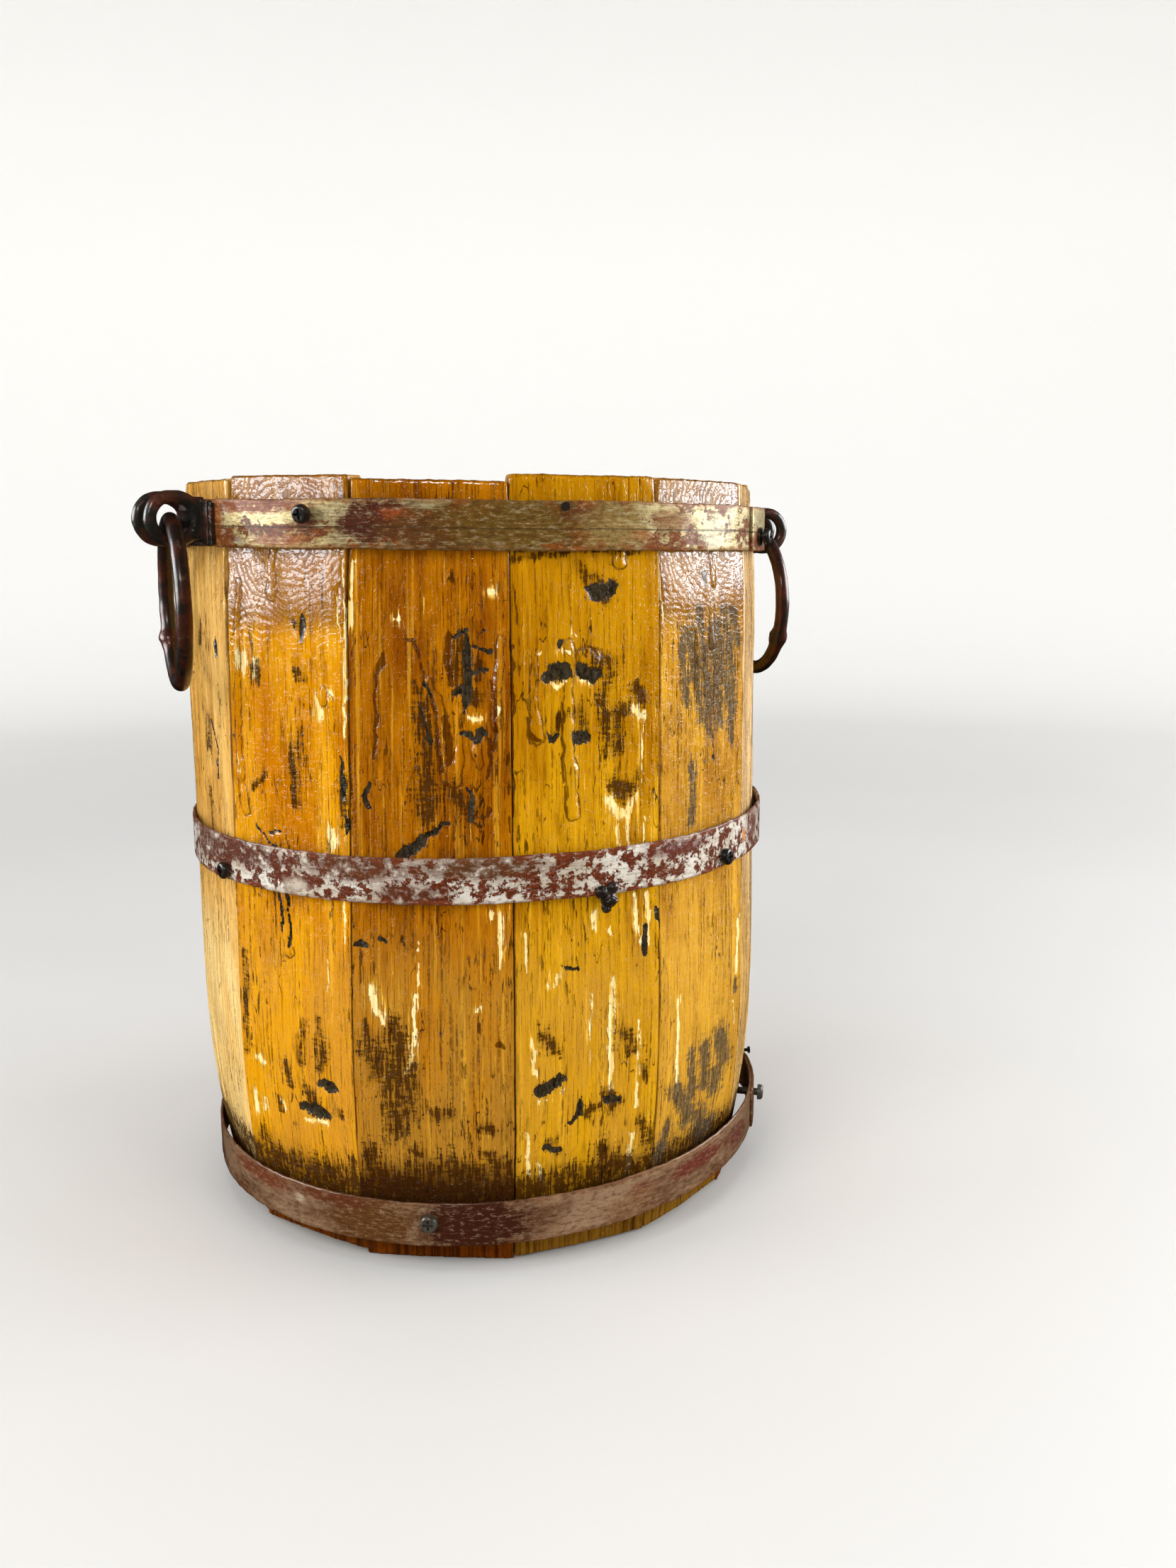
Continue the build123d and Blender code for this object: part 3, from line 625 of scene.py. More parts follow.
def stave_material(number):
    """Worn pine under thick, uneven, glossy varnish, with this stave's own marks."""
    s = Shader(f"stave_{number:02d}_varnish")
    board = s.attribute("board")
    s.place = s.stretch(board, (1, 1, 1), (number * 1.37, number * 0.61, number * 2.11))
    x, y, z = s.split(board)
    black, cream, brown = s.split(s.attribute("chipped"))
    soot, grey, drip = s.split(s.attribute("dirtied"))
    side_edge, below_top, _ = s.split(s.attribute("edges"))
    base, shade = STAVE_COLOURS[number - 1]
    fine = s.grain((620, 620, 260), 4, 0.65)
    ragged = s.swing(fine, 0.9)

    # annual rings run along the stave, as wavering bands, with thin dark pores between, and
    # the varnish over them is mottled by grime, finely and in streaks
    waver = s.grain((26, 26, 5), 3, 0.55)
    bands = s.math("FRACT", s.plus(s.times(x, 300), s.times(waver, 18)))
    rings = s.times(s.rise(bands, 0.15, 0.85), s.rise(bands, 1.0, 0.88))
    streaks = s.grain((420, 420, 9), 5, 0.65)
    pores = s.rise(s.grain((1500, 1500, 36), 3, 0.6), 0.58, 0.68)
    clouds = s.grain((40, 40, 11), 4, 0.6)
    mottle = s.grain((150, 150, 42), 5, 0.7, (4, 4, 1))
    pale_streaks = s.grain((230, 230, 6), 4, 0.65, (3, 1, 7))
    s.colour = s.mix(s.rise(clouds, 0.38, 0.66), base, shade)
    s.paint(shade, rings, s.rise(clouds, 0.3, 0.7), 0.5)
    s.paint(shade, s.rise(streaks, 0.5, 0.68), 0.6)
    s.paint(s.mix(0.45, shade, (70, 34, 2)), s.rise(mottle, 0.50, 0.68), 0.5)
    s.paint((236, 176, 40), s.rise(pale_streaks, 0.54, 0.70), 0.42)
    s.paint((78, 38, 4), pores, s.rise(clouds, 0.3, 0.6), 0.6)
    if number in SHADED_ABOVE:
        s.paint(shade, s.rise(z, 0.22, 0.32), 0.45)

    # the varnish is thinner and the wood paler low down
    pale, amount = PALE_LOW.get(number, PALE_LOW_ELSEWHERE)
    s.paint(pale, s.rise(z, 0.185, 0.135), s.rise(clouds, 0.3, 0.6), amount)
    if number in THICK_NEAR_RIM:
        s.paint((112, 66, 10), s.rise(s.plus(z, s.times(ragged, 0.012)), 0.304, 0.318), 0.72)

    # cream dashes where the varnish has flaked along the grain, the larger flakes, and the cream
    # strokes by the joints near the rim, which are painted glints
    dash_noise = s.grain((640, 640, 30), 4, 0.7, (9, 4, 2))
    dash_zone = s.grain((45, 45, 14), 2, 0.5, (5, 8, 1))
    dashes = s.times(s.rise(dash_noise, 0.635, 0.655), s.rise(dash_zone, 0.50, 0.60))
    near_flakes_and_glints = s.times(s.rise(cream, 0.06, 0.30), s.rise(dash_noise, 0.54, 0.57))
    flakes_and_glints = s.plus(cream, s.plus(ragged, s.swing(dash_noise, 2.2)))
    creams = s.most(dashes, near_flakes_and_glints, s.rise(flakes_and_glints, 0.60, 0.66))
    gold_tone = s.mix(s.rise(streaks, 0.35, 0.65), (240, 192, 74), (216, 156, 36))
    cream_tone = s.mix(s.rise(streaks, 0.40, 0.70), (252, 234, 172), (234, 190, 96))
    s.paint(s.mix(s.rise(cream, 0.30, 0.50), gold_tone, cream_tone), creams, 0.92)

    # dark residue caught in the grain and in the saw marks, and a dark band just above the bottom
    # hoop
    hatch = s.grain((190, 190, 700), 3, 0.7, (1, 2, 3))
    grain_hatch = s.grain((760, 760, 60), 4, 0.7, (4, 1, 6))
    caught = s.plus(s.times(hatch, 0.30), s.times(grain_hatch, 0.70))
    stray = s.times(s.rise(s.noise(s.place, 60, 4, 0.65), 0.58, 0.74), 0.55)
    low_band = s.rise(s.plus(z, s.times(ragged, 0.010)), 0.060, 0.040)
    smudge = s.most(stray, soot, s.times(low_band, 0.85))
    dirt = s.rise(s.plus(s.times(smudge, 0.19), caught), 0.63, 0.69)
    dirt = s.times(dirt, s.rise(smudge, 0.10, 0.35))
    gritty = s.swing(s.grain((260, 260, 150), 6, 0.75), 2.4)
    dirt = s.most(dirt, s.rise(s.plus(s.times(low_band, 0.8), gritty), 0.72, 0.84))
    s.paint((40, 22, 6), dirt, 0.92)
    s.paint((86, 46, 4), s.rise(smudge, 0.35, 0.9), 0.35)
    s.paint((50, 24, 6), low_band, BAND_DARKNESS.get(number, 0.2))
    grey_dirt = s.rise(s.plus(s.times(grey, 0.24), caught), 0.58, 0.69)
    grey_dirt = s.times(grey_dirt, s.rise(grey, 0.08, 0.4))
    s.paint(s.mix(s.rise(fine, 0.4, 0.6), (44, 38, 30), (92, 80, 62)), grey_dirt, 0.88)

    # short dark ticks along the grain where the wood is most worn
    tick_noise = s.grain((520, 520, 70), 4, 0.65, (3, 9, 2))
    tick_zone = s.rise(s.grain((36, 36, 15), 3, 0.6, (1, 5, 5)), 0.46, 0.58)
    s.paint((50, 24, 2), s.rise(tick_noise, 0.585, 0.615), tick_zone, 0.8)

    # scattered black specks, grit, hairlines and thin dark lines down the grain
    grit_noise = s.grain((950, 950, 420), 3, 0.7, (2, 6, 3))
    grit = s.times(s.rise(grit_noise, 0.62, 0.66), s.rise(clouds, 0.35, 0.6), 0.75)
    line_noise = s.grain((950, 950, 14), 3, 0.6, (6, 3, 9))
    grain_lines = s.times(s.rise(line_noise, 0.57, 0.63), s.rise(fine, 0.38, 0.55), 0.7)
    s.paint((62, 30, 6), s.most(grit, grain_lines))
    specks = s.rise(s.grain((300, 300, 170), 3, 0.6, (7, 7, 7)), 0.70, 0.725)
    hair = s.gap(s.grain((90, 90, 20), 3, 0.55), 0.5)
    hair_zone = s.rise(s.noise(s.place, 34, 2, 0.5), 0.52, 0.60)
    hairs = s.times(s.rise(hair, 0.008, 0.003), hair_zone)
    s.paint((36, 16, 4), s.most(specks, hairs), 0.85)

    # dark outlines beside the runs of varnish, and chips right through to black, flecked with
    # greyish painted highlights
    outline = s.rise(s.gap(drip, 0.30), 0.10, 0.03)
    lines = s.rise(s.plus(brown, s.times(ragged, 0.5)), 0.40, 0.56)
    lines = s.most(lines, s.times(outline, s.rise(fine, 0.36, 0.5), 0.9))
    s.paint((66, 28, 2), lines, 0.8)
    chip = s.rise(s.plus(black, s.times(ragged, 1.1)), 0.46, 0.52)
    # the chips' greyish flecks are painted highlights
    s.paint(s.mix(s.rise(fine, 0.3, 0.75), (22, 16, 8), (66, 56, 40)), chip)

    # dark lines down the joints and along the rim, and dark feet that are dirt and painted shade
    # near the floor
    joint_noise = s.grain((200, 200, 22), 3, 0.6, (2, 9, 4))
    joint = s.times(s.rise(side_edge, 1.0, 0.2), s.rise(joint_noise, 0.42, 0.58), 0.8)
    rim = s.rise(s.plus(below_top, s.times(ragged, 2.0)), 1.8, 0.2)
    s.paint((48, 24, 6), s.most(joint, rim), 0.75)
    # the feet are painted dark brown, as dirt and as painted shade near the floor
    foot_dirt_and_shade = s.rise(z, 0.033, 0.026)
    foot_dirt_and_shade_tone = s.mix(s.rise(streaks, 0.4, 0.62), (116, 54, 6), (62, 24, 2))
    if number in DULL_FEET:
        foot_dirt_and_shade_tone = s.mix(s.rise(streaks, 0.45, 0.66), (132, 90, 24), (66, 36, 8))
    s.paint(foot_dirt_and_shade_tone, foot_dirt_and_shade, 0.85)

    # the sides and inside are bare, dull wood, and the ends show dark end grain
    inside = s.rise(y, 0.0015, 0.0045)
    bare = s.mix(s.rise(streaks, 0.35, 0.7), (186, 144, 88), (126, 86, 44))
    s.paint(s.mix(s.times(s.rise(clouds, 0.5, 0.75), 0.6), bare, (84, 58, 32)), inside)
    up = s.split(s.node("ShaderNodeNewGeometry").outputs["Normal"])[2]
    end_face = s.times(s.rise(s.size(up), 0.55, 0.85), s.rise(y, 0.0005, 0.002))
    end_rings = s.grain((900, 260, 60), 3, 0.6, distortion=0.8)
    s.paint(s.mix(s.rise(end_rings, 0.4, 0.65), (204, 158, 92), (110, 70, 30)), end_face)

    # relief too fine for the mesh: saw ridges, grain, orange peel and the marks' own edges
    saw_zone = s.rise(s.noise(s.place, 24, 2, 0.5), 0.50, 0.64)
    saw_wave = s.plus(s.times(z, 1700), s.times(s.noise(s.place, 45, 2, 0.5), 22))
    saw = s.times(s.math("SINE", saw_wave), saw_zone, 0.05)
    peel = s.noise(s.place, 420, 3, 0.6)
    height = s.plus(s.times(peel, 0.3), s.times(streaks, 0.55), saw, s.times(fine, 0.3))
    height = s.minus(height, s.times(s.most(dirt, creams, chip, lines), 0.3))
    height = s.minus(height, s.times(pores, 0.3))

    # wrinkles and saw arcs in the varnish, which also break up its reflections
    ridge = s.rise(s.gap(s.grain((240, 240, 520), 2, 0.5, (8, 1, 5), 0.6), 0.5), 0.045, 0.005)
    if number in SAW_ARCS:
        arc_x, arc_z = SAW_ARCS[number]
        distance = s.length(s.times(s.minus(x, arc_x * MM), 0.8), s.minus(z, arc_z * MM))
        distance = s.plus(distance, s.times(s.noise(s.place, 70, 3, 0.5), 0.012))
        crest = s.rise(s.math("SINE", s.times(distance, SAW_ARC_PITCH)), 0.0, 0.7)
        patches = s.rise(s.noise(s.place, 90, 2, 0.5), 0.40, 0.50)
        ridge = s.most(ridge, s.times(crest, s.rise(z, 0.296, 0.312), patches, 0.9))
    mirror_gaps = s.times(ridge, 0.8 if number in THICK_NEAR_RIM else 0.3)
    shares = ((peel, 0.04), (streaks, 0.14), (fine, 0.05), (ridge, 0.12), (saw, 0.3))
    coat_height = s.plus(*(s.times(layer, share) for layer, share in shares))
    coat_height = s.minus(coat_height, s.times(s.most(creams, chip, lines), 0.2))

    dull = s.most(inside, s.times(s.most(dirt, grey_dirt, foot_dirt_and_shade), 0.7))
    dirtied = s.times(s.most(dirt, grey_dirt), 0.4)
    worn = s.most(s.times(inside, 0.97), dirtied, s.times(creams, 0.35), mirror_gaps)
    return s.finish(
        s.plus(0.45, s.times(dull, 0.35)), s.bump(height, 0.0010, 0.9), Specular_IOR_Level=0.0,
        Coat_Weight=s.minus(1.0, worn), Coat_Roughness=0.05, Coat_IOR=1.50,
        Coat_Normal=s.bump(coat_height, 0.0010, 0.8),
    )


stave_meshes = {node: mesh_arrays(node) for node in STAVES}
lattices = {is_front: box_lattice(counts) for is_front, counts in LATTICE_COUNTS.items()}
for position, node in enumerate(STAVES):
    build_stave(position + 1, node, stave_material(position + 1))


# ---- hoops


def fit_hoop(node):
    """The hoop's outer radius, centre and tilt, from the CAD node's own vertices."""
    points = mesh_arrays(node)[0]
    azimuths = np.degrees(np.arctan2(points[:, 0], -points[:, 1]))
    rows = []
    for start in np.arange(-180, 180, 10):
        near = points[(azimuths >= start) & (azimuths < start + 10)]
        if len(near):
            r = np.hypot(near[:, 0], near[:, 1])
            angle = np.arctan2(near[r.argmax(), 0], -near[r.argmax(), 1])
            rows.append([angle, r.max(), (near[:, 2].max() + near[:, 2].min()) / 2])
    rows = np.array(rows)
    around = np.stack([np.ones(len(rows)), np.sin(rows[:, 0]), -np.cos(rows[:, 0])], axis=1)
    keep = np.ones(len(rows), bool)
    for _ in range(3):
        radius_fit = np.linalg.lstsq(around[keep], rows[keep, 1], rcond=None)[0]
        keep = np.abs(around @ radius_fit - rows[:, 1]) < 0.7 * MM
    height_fit = np.linalg.lstsq(around, rows[:, 2], rcond=None)[0]
    return radius_fit, height_fit


STRAP_WIDTH, STRAP_THICKNESS = 22.2 * MM, 1.5 * MM
# azimuths where each strap's outer end stops and how far it lies over its beginning
HOOP_LAPS = {"top_hoop": (62.0, 14.0), "middle_hoop": (196.0, 14.0), "bottom_hoop": (73.0, 18.0)}


def strap_profile():
    """The strap's cross-section, with round edges: (out, up) pairs, once round."""
    edge = STRAP_THICKNESS / 2
    flat = np.linspace(-STRAP_WIDTH / 2 + edge, STRAP_WIDTH / 2 - edge, 13)
    turn = np.radians([0, 30, 60, 90, 120, 150, 180])[1:-1]
    profile = [(0.0, up) for up in flat]
    profile += [(-edge + edge * math.cos(a), flat[-1] + edge * math.sin(a)) for a in turn]
    profile += [(-STRAP_THICKNESS, up) for up in flat[::-1]]
    profile += [(-edge - edge * math.cos(a), flat[0] - edge * math.sin(a)) for a in turn]
    return np.array(profile)


def build_hoop(node, material, seed):
    """A strap bent round once, its outer end lapped over its beginning."""
    radius_fit, height_fit = fit_hoop(node)
    lap_start, lap = HOOP_LAPS[node]
    profile = strap_profile()
    turns = np.arange(lap_start, lap_start + 360 + lap + 0.5, 1.0)
    angles = np.radians(turns)
    around = np.stack([np.ones(len(angles)), np.sin(angles), -np.cos(angles)], axis=1)
    radius, height = around @ radius_fit, around @ height_fit
    progress = turns - lap_start
    radius = radius + STRAP_THICKNESS * (1 - smooth_step(progress, lap, lap + 5.0))
    spots = np.stack([np.cos(angles) * 5, np.sin(angles) * 5, 0 * angles], axis=1)
    bend = sway(spots, 3, seed) * 0.8 * MM * smooth_step(progress, 0, lap + 8)
    wave = sway(spots + 9.0, 2, seed + 3) * 0.9 * MM
    points, board = [], []
    for k, angle in enumerate(angles):
        out = np.array([math.sin(angle), -math.cos(angle), 0.0])
        rows = [np.full(len(profile), angle * 6), profile[:, 1] / (9 * MM), profile[:, 0] * 0]
        local = np.stack(rows, axis=1)
        dents = sway(local * [6, 1, 1], 2, seed + 7) * 0.35 * MM
        ragged = (noise(local * [9, 0, 0] + 3.0, seed + 9) - 0.5) * 0.5 * MM
        reach = radius[k] + bend[k] + profile[:, 0] + dents
        at_edge = abs(profile[:, 1]) > 9 * MM
        up = height[k] + wave[k] + profile[:, 1] + ragged * np.sign(profile[:, 1]) * at_edge
        points += list(out[None, :] * reach[:, None] + np.stack([0 * up, 0 * up, up], axis=1))
        board += [(angle * radius_fit[0], depth, above) for depth, above in profile]
    size, rings = len(profile), len(angles)
    faces = ring_faces(rings, size)
    faces.append(tuple(range(size)))
    faces.append(tuple(range((rings - 1) * size, rings * size))[::-1])
    layers = {"board": np.array(board).T}
    new_piece(f"strap_{node}", points, faces, material, "tub", [node], layers)


def hoop_material(name, look):
    """Old strap iron: bare metal, rust in flakes and clouds, and a thin coat of varnish."""
    s = Shader(name)
    s.place = s.attribute("board")
    x, _, z = s.split(s.place)
    seed, pits = look["seed"], look["pits"]
    clouds = s.grain((22, 22, 60), 4, 0.6, (seed, 0, 0))
    flakes = s.grain(look["flakes"], 7, 0.7, (seed, 2, 0))
    fine = s.noise(s.place, 900, 4, 0.7)
    scratch = s.grain((60, 60, 1500), 3, 0.7, (seed, 5, 0))
    s.colour = s.mix(s.rise(clouds, 0.35, 0.68), look["metal"], look["tarnish"])
    s.paint(look["bright"], s.rise(scratch, 0.48, 0.66), look["scratched"])
    rust_at = s.plus(s.times(flakes, look["flaky"]), s.times(clouds, 1 - look["flaky"]))
    rust = s.rise(rust_at, look["rust_from"], look["rust_from"] + look["rust_edge"])
    s.paint(s.mix(s.rise(fine, 0.35, 0.65), look["rust"], look["rust_light"]), rust)
    edge_rust = s.rise(s.plus(s.size(z), s.swing(flakes, 0.010)), 0.0086, 0.0102)
    edge_rust = s.times(edge_rust, look["edge_rust"])
    s.paint(look["rust_light"], edge_rust)

    # each stain, and the painted highlight, has an uneven edge and is worn through where flakes have
    # gone
    stained_and_highlit = s.most(rust, edge_rust)
    wobble = s.swing(flakes, 3.0)
    streaks = s.times(s.rise(scratch, 0.62, 0.48), look["streaks"])
    worn_through = s.plus(s.rise(flakes, 0.36, 0.46), streaks)
    for azimuth, above, wide, tall, tone, strength in look["stains_and_highlights"]:
        turned = azimuth + 360 if azimuth < look["starts"] else azimuth
        dx = s.math("DIVIDE", s.minus(x, math.radians(turned) * look["radius"]), wide * MM)
        dz = s.math("DIVIDE", s.minus(z, above * MM), tall * MM)
        within = s.rise(s.plus(s.length(dx, dz), wobble), 1 + PATCH_EDGE, 1 - PATCH_EDGE)
        stain_and_highlight = s.math("MULTIPLY", s.times(within, strength), worn_through, clamp=True)
        s.paint(tone, stain_and_highlight)
        stained_and_highlit = s.most(stained_and_highlit, stain_and_highlight)

    pitted = s.grain((210, 210, 560), 5, 0.75, (seed, 7, 0))
    s.paint((52, 26, 8), s.rise(pitted, 0.52, 0.58), pits)
    s.paint(look["bright"], s.rise(pitted, 0.46, 0.40), pits * 0.35)
    s.paint((70, 48, 30), s.rise(s.size(z), 0.0098, 0.0112), 0.35)
    height = s.plus(s.times(flakes, 0.5), s.times(fine, 0.3), s.times(rust, look["rust_relief"]))
    if look["scribed"]:
        line = s.rise(s.size(s.plus(z, 0.0015)), 0.00045, 0.0001)
        height = s.minus(height, s.times(line, 0.8))
        s.paint((60, 44, 26), line, 0.5)
    metallic = s.minus(look["metallic"], s.times(stained_and_highlit, look["metallic"] * 0.9))
    return s.finish(
        s.plus(look["gloss"], s.times(stained_and_highlit, 0.22)), s.bump(height, 0.0006, 0.8),
        Metallic=metallic, Specular_IOR_Level=0.08, Coat_Weight=look["varnish"], Coat_Roughness=0.12,
    )


PATCH_EDGE = 0.55  # softness of the edge of each stain and painted highlight, as a share of its size
STRAP = dict(scribed=False, pits=0.5, edge_rust=0.6, flakes=(130, 130, 190), streaks=0.75)
# stains, and one painted highlight on the bottom hoop, are (azimuth, height above the strap's
# middle, half width, half height in mm, colour as seen, strength)
HOOP_LOOKS = {
    "top_hoop": STRAP | dict(
        seed=1.0, metal=(158, 144, 100), tarnish=(112, 82, 30), bright=(206, 196, 162),
        rust=(80, 32, 2), rust_light=(124, 66, 12), flaky=0.5, rust_from=0.505,
        rust_edge=0.03, rust_relief=0.3, radius=0.1569, gloss=0.38, metallic=0.55, varnish=0.15,
        scribed=True, scratched=0.35,
        stains_and_highlights=(
            (-52, 0, 9, 14, (132, 70, 16), 0.85), (-29, 0, 6, 5, (92, 46, 12), 0.8),
            (-40, 8, 30, 3, (120, 60, 16), 0.8), (-34, -7, 16, 2.4, (128, 70, 24), 0.7),
            (-16, 1, 17, 9, (66, 22, 0), 1.0), (-12, 4, 8, 2.5, (150, 66, 18), 0.6),
            (-6, -3, 24, 9, (84, 48, 8), 0.85), (7, 1, 30, 12, (92, 66, 16), 0.8),
            (20, 5, 14, 4, (84, 44, 12), 0.8), (28, -4, 9, 3, (140, 76, 32), 0.65),
            (24, 0, 16, 12, (120, 96, 46), 0.6), (36, 3, 12, 4, (120, 84, 44), 0.7),
            (47, -2, 8, 8, (196, 184, 150), 0.6),
        ),
    ),
    "middle_hoop": STRAP | dict(
        seed=4.0, metal=(226, 219, 206), tarnish=(186, 170, 148), bright=(238, 232, 220),
        rust=(58, 18, 4), rust_light=(114, 50, 18), flaky=0.85, rust_from=0.492,
        rust_edge=0.012, rust_relief=0.5, radius=0.1574, gloss=0.42, metallic=0.30, varnish=0.25,
        pits=0.4, scratched=0.12, flakes=(125, 125, 135), streaks=0.15,
        stains_and_highlights=(
            (60.3, 0.5, 2.2, 3.4, (214, 132, 40), 1.0), (-62, 4, 20, 8, (92, 50, 26), 0.8),
            (-46, 5, 24, 6, (88, 42, 20), 0.85), (-22, 5, 28, 6, (92, 48, 20), 0.8),
            (0, 6, 30, 5, (90, 54, 26), 0.8), (-12, -6, 16, 4, (84, 40, 18), 0.75),
            (-34, -6, 8, 4, (206, 196, 176), 0.6),
            (38, 6, 20, 4, (92, 40, 28), 0.8), (66, 3, 12, 8, (104, 56, 40), 0.8),
        ),
    ),
    "bottom_hoop": STRAP | dict(
        seed=7.0, metal=(154, 122, 92), tarnish=(98, 62, 36), bright=(196, 172, 142),
        rust=(66, 26, 6), rust_light=(104, 56, 22), flaky=0.45, rust_from=0.57,
        rust_edge=0.06, rust_relief=0.1, radius=0.1533, gloss=0.36, metallic=0.3, varnish=0.5,
        edge_rust=0.5, scratched=0.1,
        stains_and_highlights=(
            (-2, 0, 24, 16, (58, 22, 4), 1.0), (-22, 0, 22, 14, (88, 52, 14), 0.75),
            (46, 3, 22, 4, (98, 42, 28), 0.85), (62, 0, 12, 6, (96, 46, 34), 0.7),
            # the pale spot at -38 degrees is a painted highlight, not a stain
            (30, 2, 8, 4, (104, 56, 36), 0.6), (-38, 3, 3, 2, (184, 168, 140), 0.5),
            (-50, 6, 26, 4, (104, 50, 22), 0.75), (-30, 8, 20, 3, (92, 44, 16), 0.75),
            (28, -3, 16, 6, (122, 88, 58), 0.5),
        ),
    ),
}
for index, (node, look) in enumerate(HOOP_LOOKS.items()):
    look["starts"] = HOOP_LAPS[node][0]
    build_hoop(node, hoop_material(f"{node}_strap", look), 100 + 10 * index)


# ---- forged and black iron


def iron_material(name, black, brown, gloss, rust_from=0.58, rust_tone=(108, 54, 28)):
    """Blackened forged iron with patches of brown rust and of paler wear."""
    s = Shader(name)
    place = s.node("ShaderNodeTexCoord").outputs["Object"]
    clouds = s.noise(place, 90, 4, 0.6)
    fine = s.noise(place, 900, 4, 0.65)
    dents = s.noise(place, 260, 3, 0.55)
    s.colour = s.mix(s.rise(clouds, 0.42, 0.62), black, brown)
    rust_at = s.plus(s.times(clouds, 0.5), s.times(fine, 0.5))
    rust = s.rise(rust_at, rust_from, rust_from + 0.06)
    s.paint(rust_tone, rust, 0.7)
    s.paint((96, 92, 78), s.rise(dents, 0.62, 0.75), 0.4)
    height = s.plus(s.times(dents, 0.7), s.times(fine, 0.25))
    return s.finish(
        s.plus(gloss, s.times(rust, 0.25)), s.bump(height, 0.0006, 0.8), Metallic=0.35,
        Specular_IOR_Level=0.2, Coat_Weight=0.5, Coat_Roughness=0.2, Coat_IOR=1.5,
    )


black_iron = iron_material("black_iron", (34, 32, 26), (66, 36, 24), 0.38)
ring_iron = iron_material("ring_iron", (34, 22, 14), (66, 28, 12), 0.40, 0.58, (92, 42, 16))
screw_iron = iron_material("screw_iron", (24, 22, 20), (44, 32, 24), 0.42, 0.64)
grey_screw = iron_material("grey_screw", (84, 82, 72), (58, 46, 34), 0.40, 0.60)


def forged(name, node, material, voxel, lumps, lump_size, slot, smoothing=2):
    """A CAD node's shape remade as one skin, softened and made uneven as if by the hammer."""
    piece = bpy.data.objects.new(name, frame["nodes"][node].data.copy())
    bpy.context.scene.collection.objects.link(piece)
    remesh = piece.modifiers.new("skin", "REMESH")
    remesh.mode, remesh.voxel_size = "VOXEL", voxel
    soften = piece.modifiers.new("soften", "SMOOTH")
    soften.factor, soften.iterations = 0.5, smoothing
    bpy.context.view_layer.update()
    evaluated = piece.evaluated_get(bpy.context.evaluated_depsgraph_get())
    final = bpy.data.meshes.new_from_object(evaluated)
    piece.modifiers.clear()
    points = np.array([vertex.co for vertex in final.vertices])
    normals = np.array([vertex.normal for vertex in final.vertices])
    push = sway(points / lump_size, 3, 51) * 2 * lumps
    final.vertices.foreach_set("co", (points + normals * push[:, None]).ravel())
    final.polygons.foreach_set("use_smooth", [True] * len(final.polygons))
    final.materials.clear()
    final.materials.append(material)
    final.update()
    piece.data = final
    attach(piece, "tub")
    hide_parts(node)


for side in ("left", "right"):
    sizes = (0.45 * MM, 0.28 * MM, 5 * MM)
    forged(f"forged_{side}_eye", f"{side}_eye", black_iron, *sizes, "black_iron", 4)
    sizes = (0.3 * MM, 0.45 * MM, 1.6 * MM)
    forged(f"{side}_weld_beads", f"{side}_eye_welds", black_iron, *sizes, "black_iron")
forged("slag_drops", "weld_slag", screw_iron, 0.25 * MM, 0.55 * MM, 1.5 * MM, "screw_black", 1)

for node in ("top_hoop_screws", "middle_hoop_screws", "lap_washer", "hoop_nails"):
    dress(node, screw_iron)
dress("bottom_hoop_screws", grey_screw)


# ---- ring handles

RING_BAR = 7.8 * MM
RING_SEGMENTS, BAR_POINTS = 168, 22  # mesh points round the ring and round its bar
WELD_ANGLE = 210.0  # where the bar was closed, round the ring from its sideways direction


def build_ring(side, joint, seed):
    """A ring of hammered round bar that hangs from its joint, with the lump of its weld."""
    node = f"{side}_ring"
    low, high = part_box(node)
    centre_line = (high.z - low.z - RING_BAR) / 2
    pivot = np.array(joint["pos_m"])
    level = -np.array(joint["axis"])
    level = level / np.linalg.norm(level)
    across = np.array([level[1], -level[0], 0.0])
    up = np.array([0.0, 0.0, 1.0])
    middle = pivot - up * centre_line
    points = []
    for k in range(RING_SEGMENTS):
        turn = 2 * math.pi * k / RING_SEGMENTS
        radial = level * math.cos(turn) + up * math.sin(turn)
        gap = (math.degrees(turn) - WELD_ANGLE + 180) % 360 - 180
        lump = math.exp(-((gap / 6.0) ** 2))
        for j in range(BAR_POINTS):
            tilt = 2 * math.pi * j / BAR_POINTS
            spot = np.array([[math.cos(turn) * 6, math.sin(turn) * 6, math.cos(tilt) * 0.8 + seed]])
            dent = sway(spot, 3, seed)[0] * 0.5 * MM
            bead = (noise(spot * [3.0, 3.0, 2.0], seed + 4)[0] - 0.3) * 1.2 * MM * lump
            thick = RING_BAR / 2 - 0.12 * MM + dent + 1.25 * MM * lump + bead
            from_middle = radial * (centre_line + thick * math.cos(tilt))
            points.append(middle + from_middle + across * thick * math.sin(tilt))
    faces = np.array(ring_faces(RING_SEGMENTS, BAR_POINTS, closed=True))
    new_piece(f"hammered_{node}", points, faces, ring_iron, f"{side}_handle", [node])


for joint in frame["joints"]:
    ring_side = joint["name"].split("_")[0]
    build_ring(ring_side, joint, 61 if ring_side == "left" else 67)


# ---- bottom boards


BOARD_TURN = 12  # degrees; the direction that the bottom's boards run in


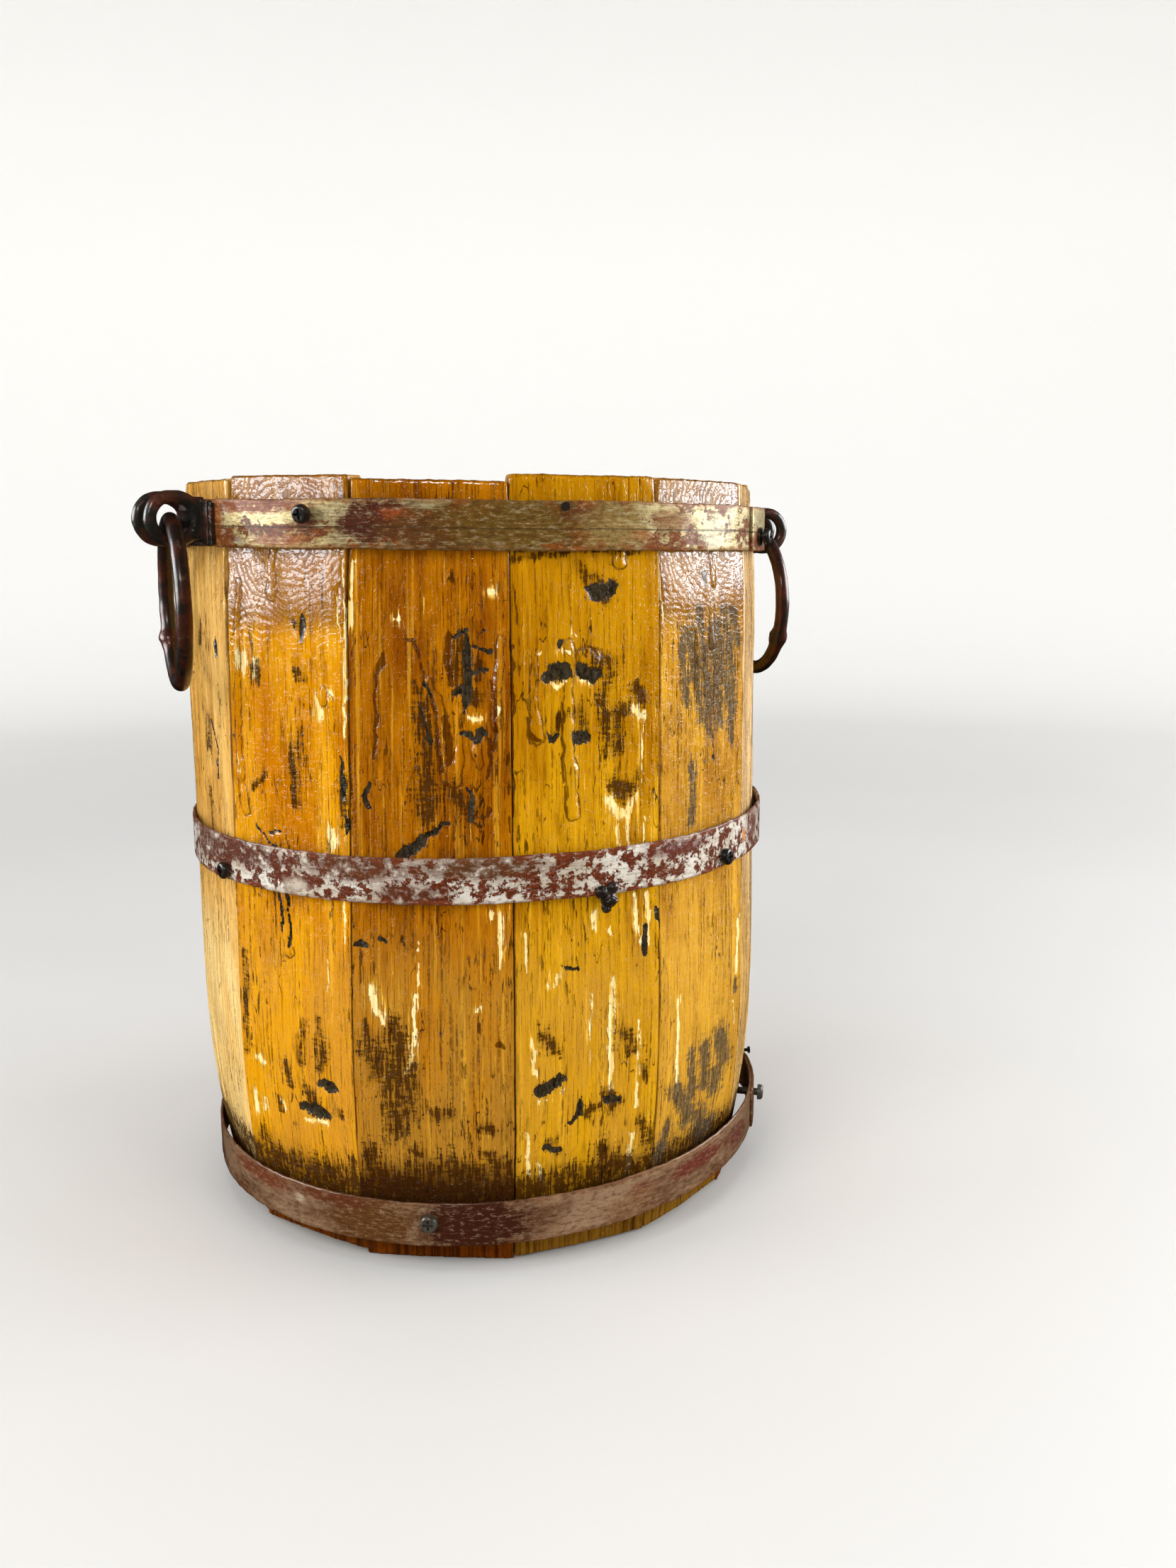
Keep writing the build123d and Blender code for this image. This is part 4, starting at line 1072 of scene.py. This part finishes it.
def bottom_material():
    s = Shader("bottom_wood")
    place = s.node("ShaderNodeTexCoord").outputs["Object"]
    turn = {"Vector": place, "Rotation": (0, 0, math.radians(BOARD_TURN))}
    s.place = s.node("ShaderNodeMapping", turn).outputs[0]
    streaks = s.grain((300, 9, 300), 4, 0.6)
    clouds = s.grain((30, 10, 30), 3, 0.6)
    s.colour = s.mix(s.rise(streaks, 0.35, 0.68), (150, 112, 66), (98, 66, 34))
    s.paint((70, 48, 28), s.rise(clouds, 0.45, 0.7), 0.6)
    return s.finish(0.62, s.bump(streaks, 0.0008, 0.8), Coat_Weight=0.1, Coat_Roughness=0.4)


bottom_wood = bottom_material()
for node in frame["nodes"]:
    if node.startswith("bottom_board") or node == "bottom_dowels":
        dress(node, bottom_wood)


# ---- floor, light and camera


FLOOR_TURNS = 96  # points once round


def build_floor():
    """A pale round floor that curves up into a low wall all round."""
    s = Shader("pale_floor")
    place = s.node("ShaderNodeTexCoord").outputs["Object"]
    soft = s.noise(place, 3, 2, 0.5)
    s.colour = s.mix(soft, (198, 197, 195), (204, 203, 201))
    level = s.node("ShaderNodeVectorMath", {0: place, 1: (1, 1, 0)}, operation="MULTIPLY").outputs[0]
    reach = s.node("ShaderNodeVectorMath", {0: level}, operation="LENGTH").outputs["Value"]
    s.paint((244, 243, 240), s.rise(reach, 0.9, 2.6))
    flat, bend, top = 1.9, 1.0, 1.7
    profile = [(0.4, 0.0), (flat, 0.0)]
    bends = np.radians(np.arange(10, 91, 10))
    profile += [(flat + bend * math.sin(a), bend - bend * math.cos(a)) for a in bends]
    profile.append((flat + bend, top))
    turns = [2 * math.pi * k / FLOOR_TURNS for k in range(FLOOR_TURNS)]
    points = [(r * math.sin(a), -r * math.cos(a), z - 0.0003) for r, z in profile for a in turns]
    faces = [tuple(range(FLOOR_TURNS))] + ring_faces(len(profile), FLOOR_TURNS)
    mesh = bpy.data.meshes.new("floor")
    mesh.from_pydata(points, [], faces)
    mesh.polygons.foreach_set("use_smooth", [True] * len(mesh.polygons))
    mesh.materials.append(s.finish(0.6, s.bump(soft, 0.0002, 0.2)))
    floor = bpy.data.objects.new("floor", mesh)
    floor.visible_glossy = False
    bpy.context.scene.collection.objects.link(floor)


def area_light(name, place, target, size, power, colour=(1, 1, 1), gloss_only=False):
    """A light that is either seen only in reflections, or lights things but isn't reflected."""
    light = bpy.data.lights.new(name, "AREA")
    light.shape = "ELLIPSE" if gloss_only else "RECTANGLE"
    light.size, light.size_y = size
    light.energy, light.color = power, colour
    lamp = bpy.data.objects.new(name, light)
    lamp.location = place
    lamp.rotation_euler = (Vector(target) - Vector(place)).to_track_quat("-Z", "Y").to_euler()
    if gloss_only:
        lamp.visible_diffuse = False
    else:
        lamp.visible_glossy = False
    bpy.context.scene.collection.objects.link(lamp)


build_floor()
area_light("key", (-1.1, -1.7, 1.9), (0, 0, 0.2), (1.4, 1.4), 32, (1.0, 0.985, 0.96))
area_light("fill", (1.6, -1.5, 1.1), (0, 0, 0.2), (1.2, 1.2), 15.5)
area_light("top", (0.0, 0.3, 2.2), (0, 0, 0.2), (1.6, 1.6), 15)
area_light("left_side", (-2.0, -0.1, 0.9), (0, 0, 0.2), (1.4, 1.2), 18)
area_light("right_side", (2.0, 0.0, 0.9), (0, 0, 0.2), (1.4, 1.2), 28)
# two bright oval windows, one each side, that the varnish mirrors near the rim, and a small
# light in front for glints
SKY = (0.90, 0.95, 1.0)
area_light("left_window", (-1.25, -0.15, 0.66), (0, -0.15, 0.66), (1.20, 0.78), 32, SKY, True)
area_light("right_window", (1.35, 0.20, 0.68), (0, 0.20, 0.68), (1.30, 0.80), 36, SKY, True)
area_light("glint", (-0.5, -1.7, 1.3), (0, 0, 0.25), (0.5, 0.4), 12, (1.0, 0.98, 0.96), True)

world = bpy.data.worlds.new("studio")
world.use_nodes = True
background = world.node_tree.nodes["Background"].inputs
background["Color"].default_value = (0.95, 0.97, 1.0, 1)
background["Strength"].default_value = 0.51
world.cycles_visibility.glossy = False
bpy.context.scene.world = world
bpy.context.scene.view_settings.view_transform = "Standard"

# the camera stands in front of the tub at about rim height and looks down a little
CAMERA_PLACE = (0.0, -0.7817, 0.3516)
CAMERA_LENS = 32.01
TURN, DIP, ROLL = -0.0784, 0.1761, -0.0087  # radians
right = Vector((math.cos(TURN), math.sin(TURN), 0))
ahead = Vector((-math.sin(TURN), math.cos(TURN), 0))
look = ahead * math.cos(DIP) - Vector((0, 0, math.sin(DIP)))
above = ahead * math.sin(DIP) + Vector((0, 0, math.cos(DIP)))
tipped_right = right * math.cos(ROLL) + above * math.sin(ROLL)
tipped_up = -right * math.sin(ROLL) + above * math.cos(ROLL)
camera = bpy.data.objects.new("camera", bpy.data.cameras.new("camera"))
camera.data.lens, camera.data.sensor_width = CAMERA_LENS, 36.0
camera.matrix_world = Matrix.Translation(CAMERA_PLACE) @ Matrix(
    (tipped_right, tipped_up, -look)
).transposed().to_4x4()
bpy.context.scene.collection.objects.link(camera)
bpy.context.scene.camera = camera
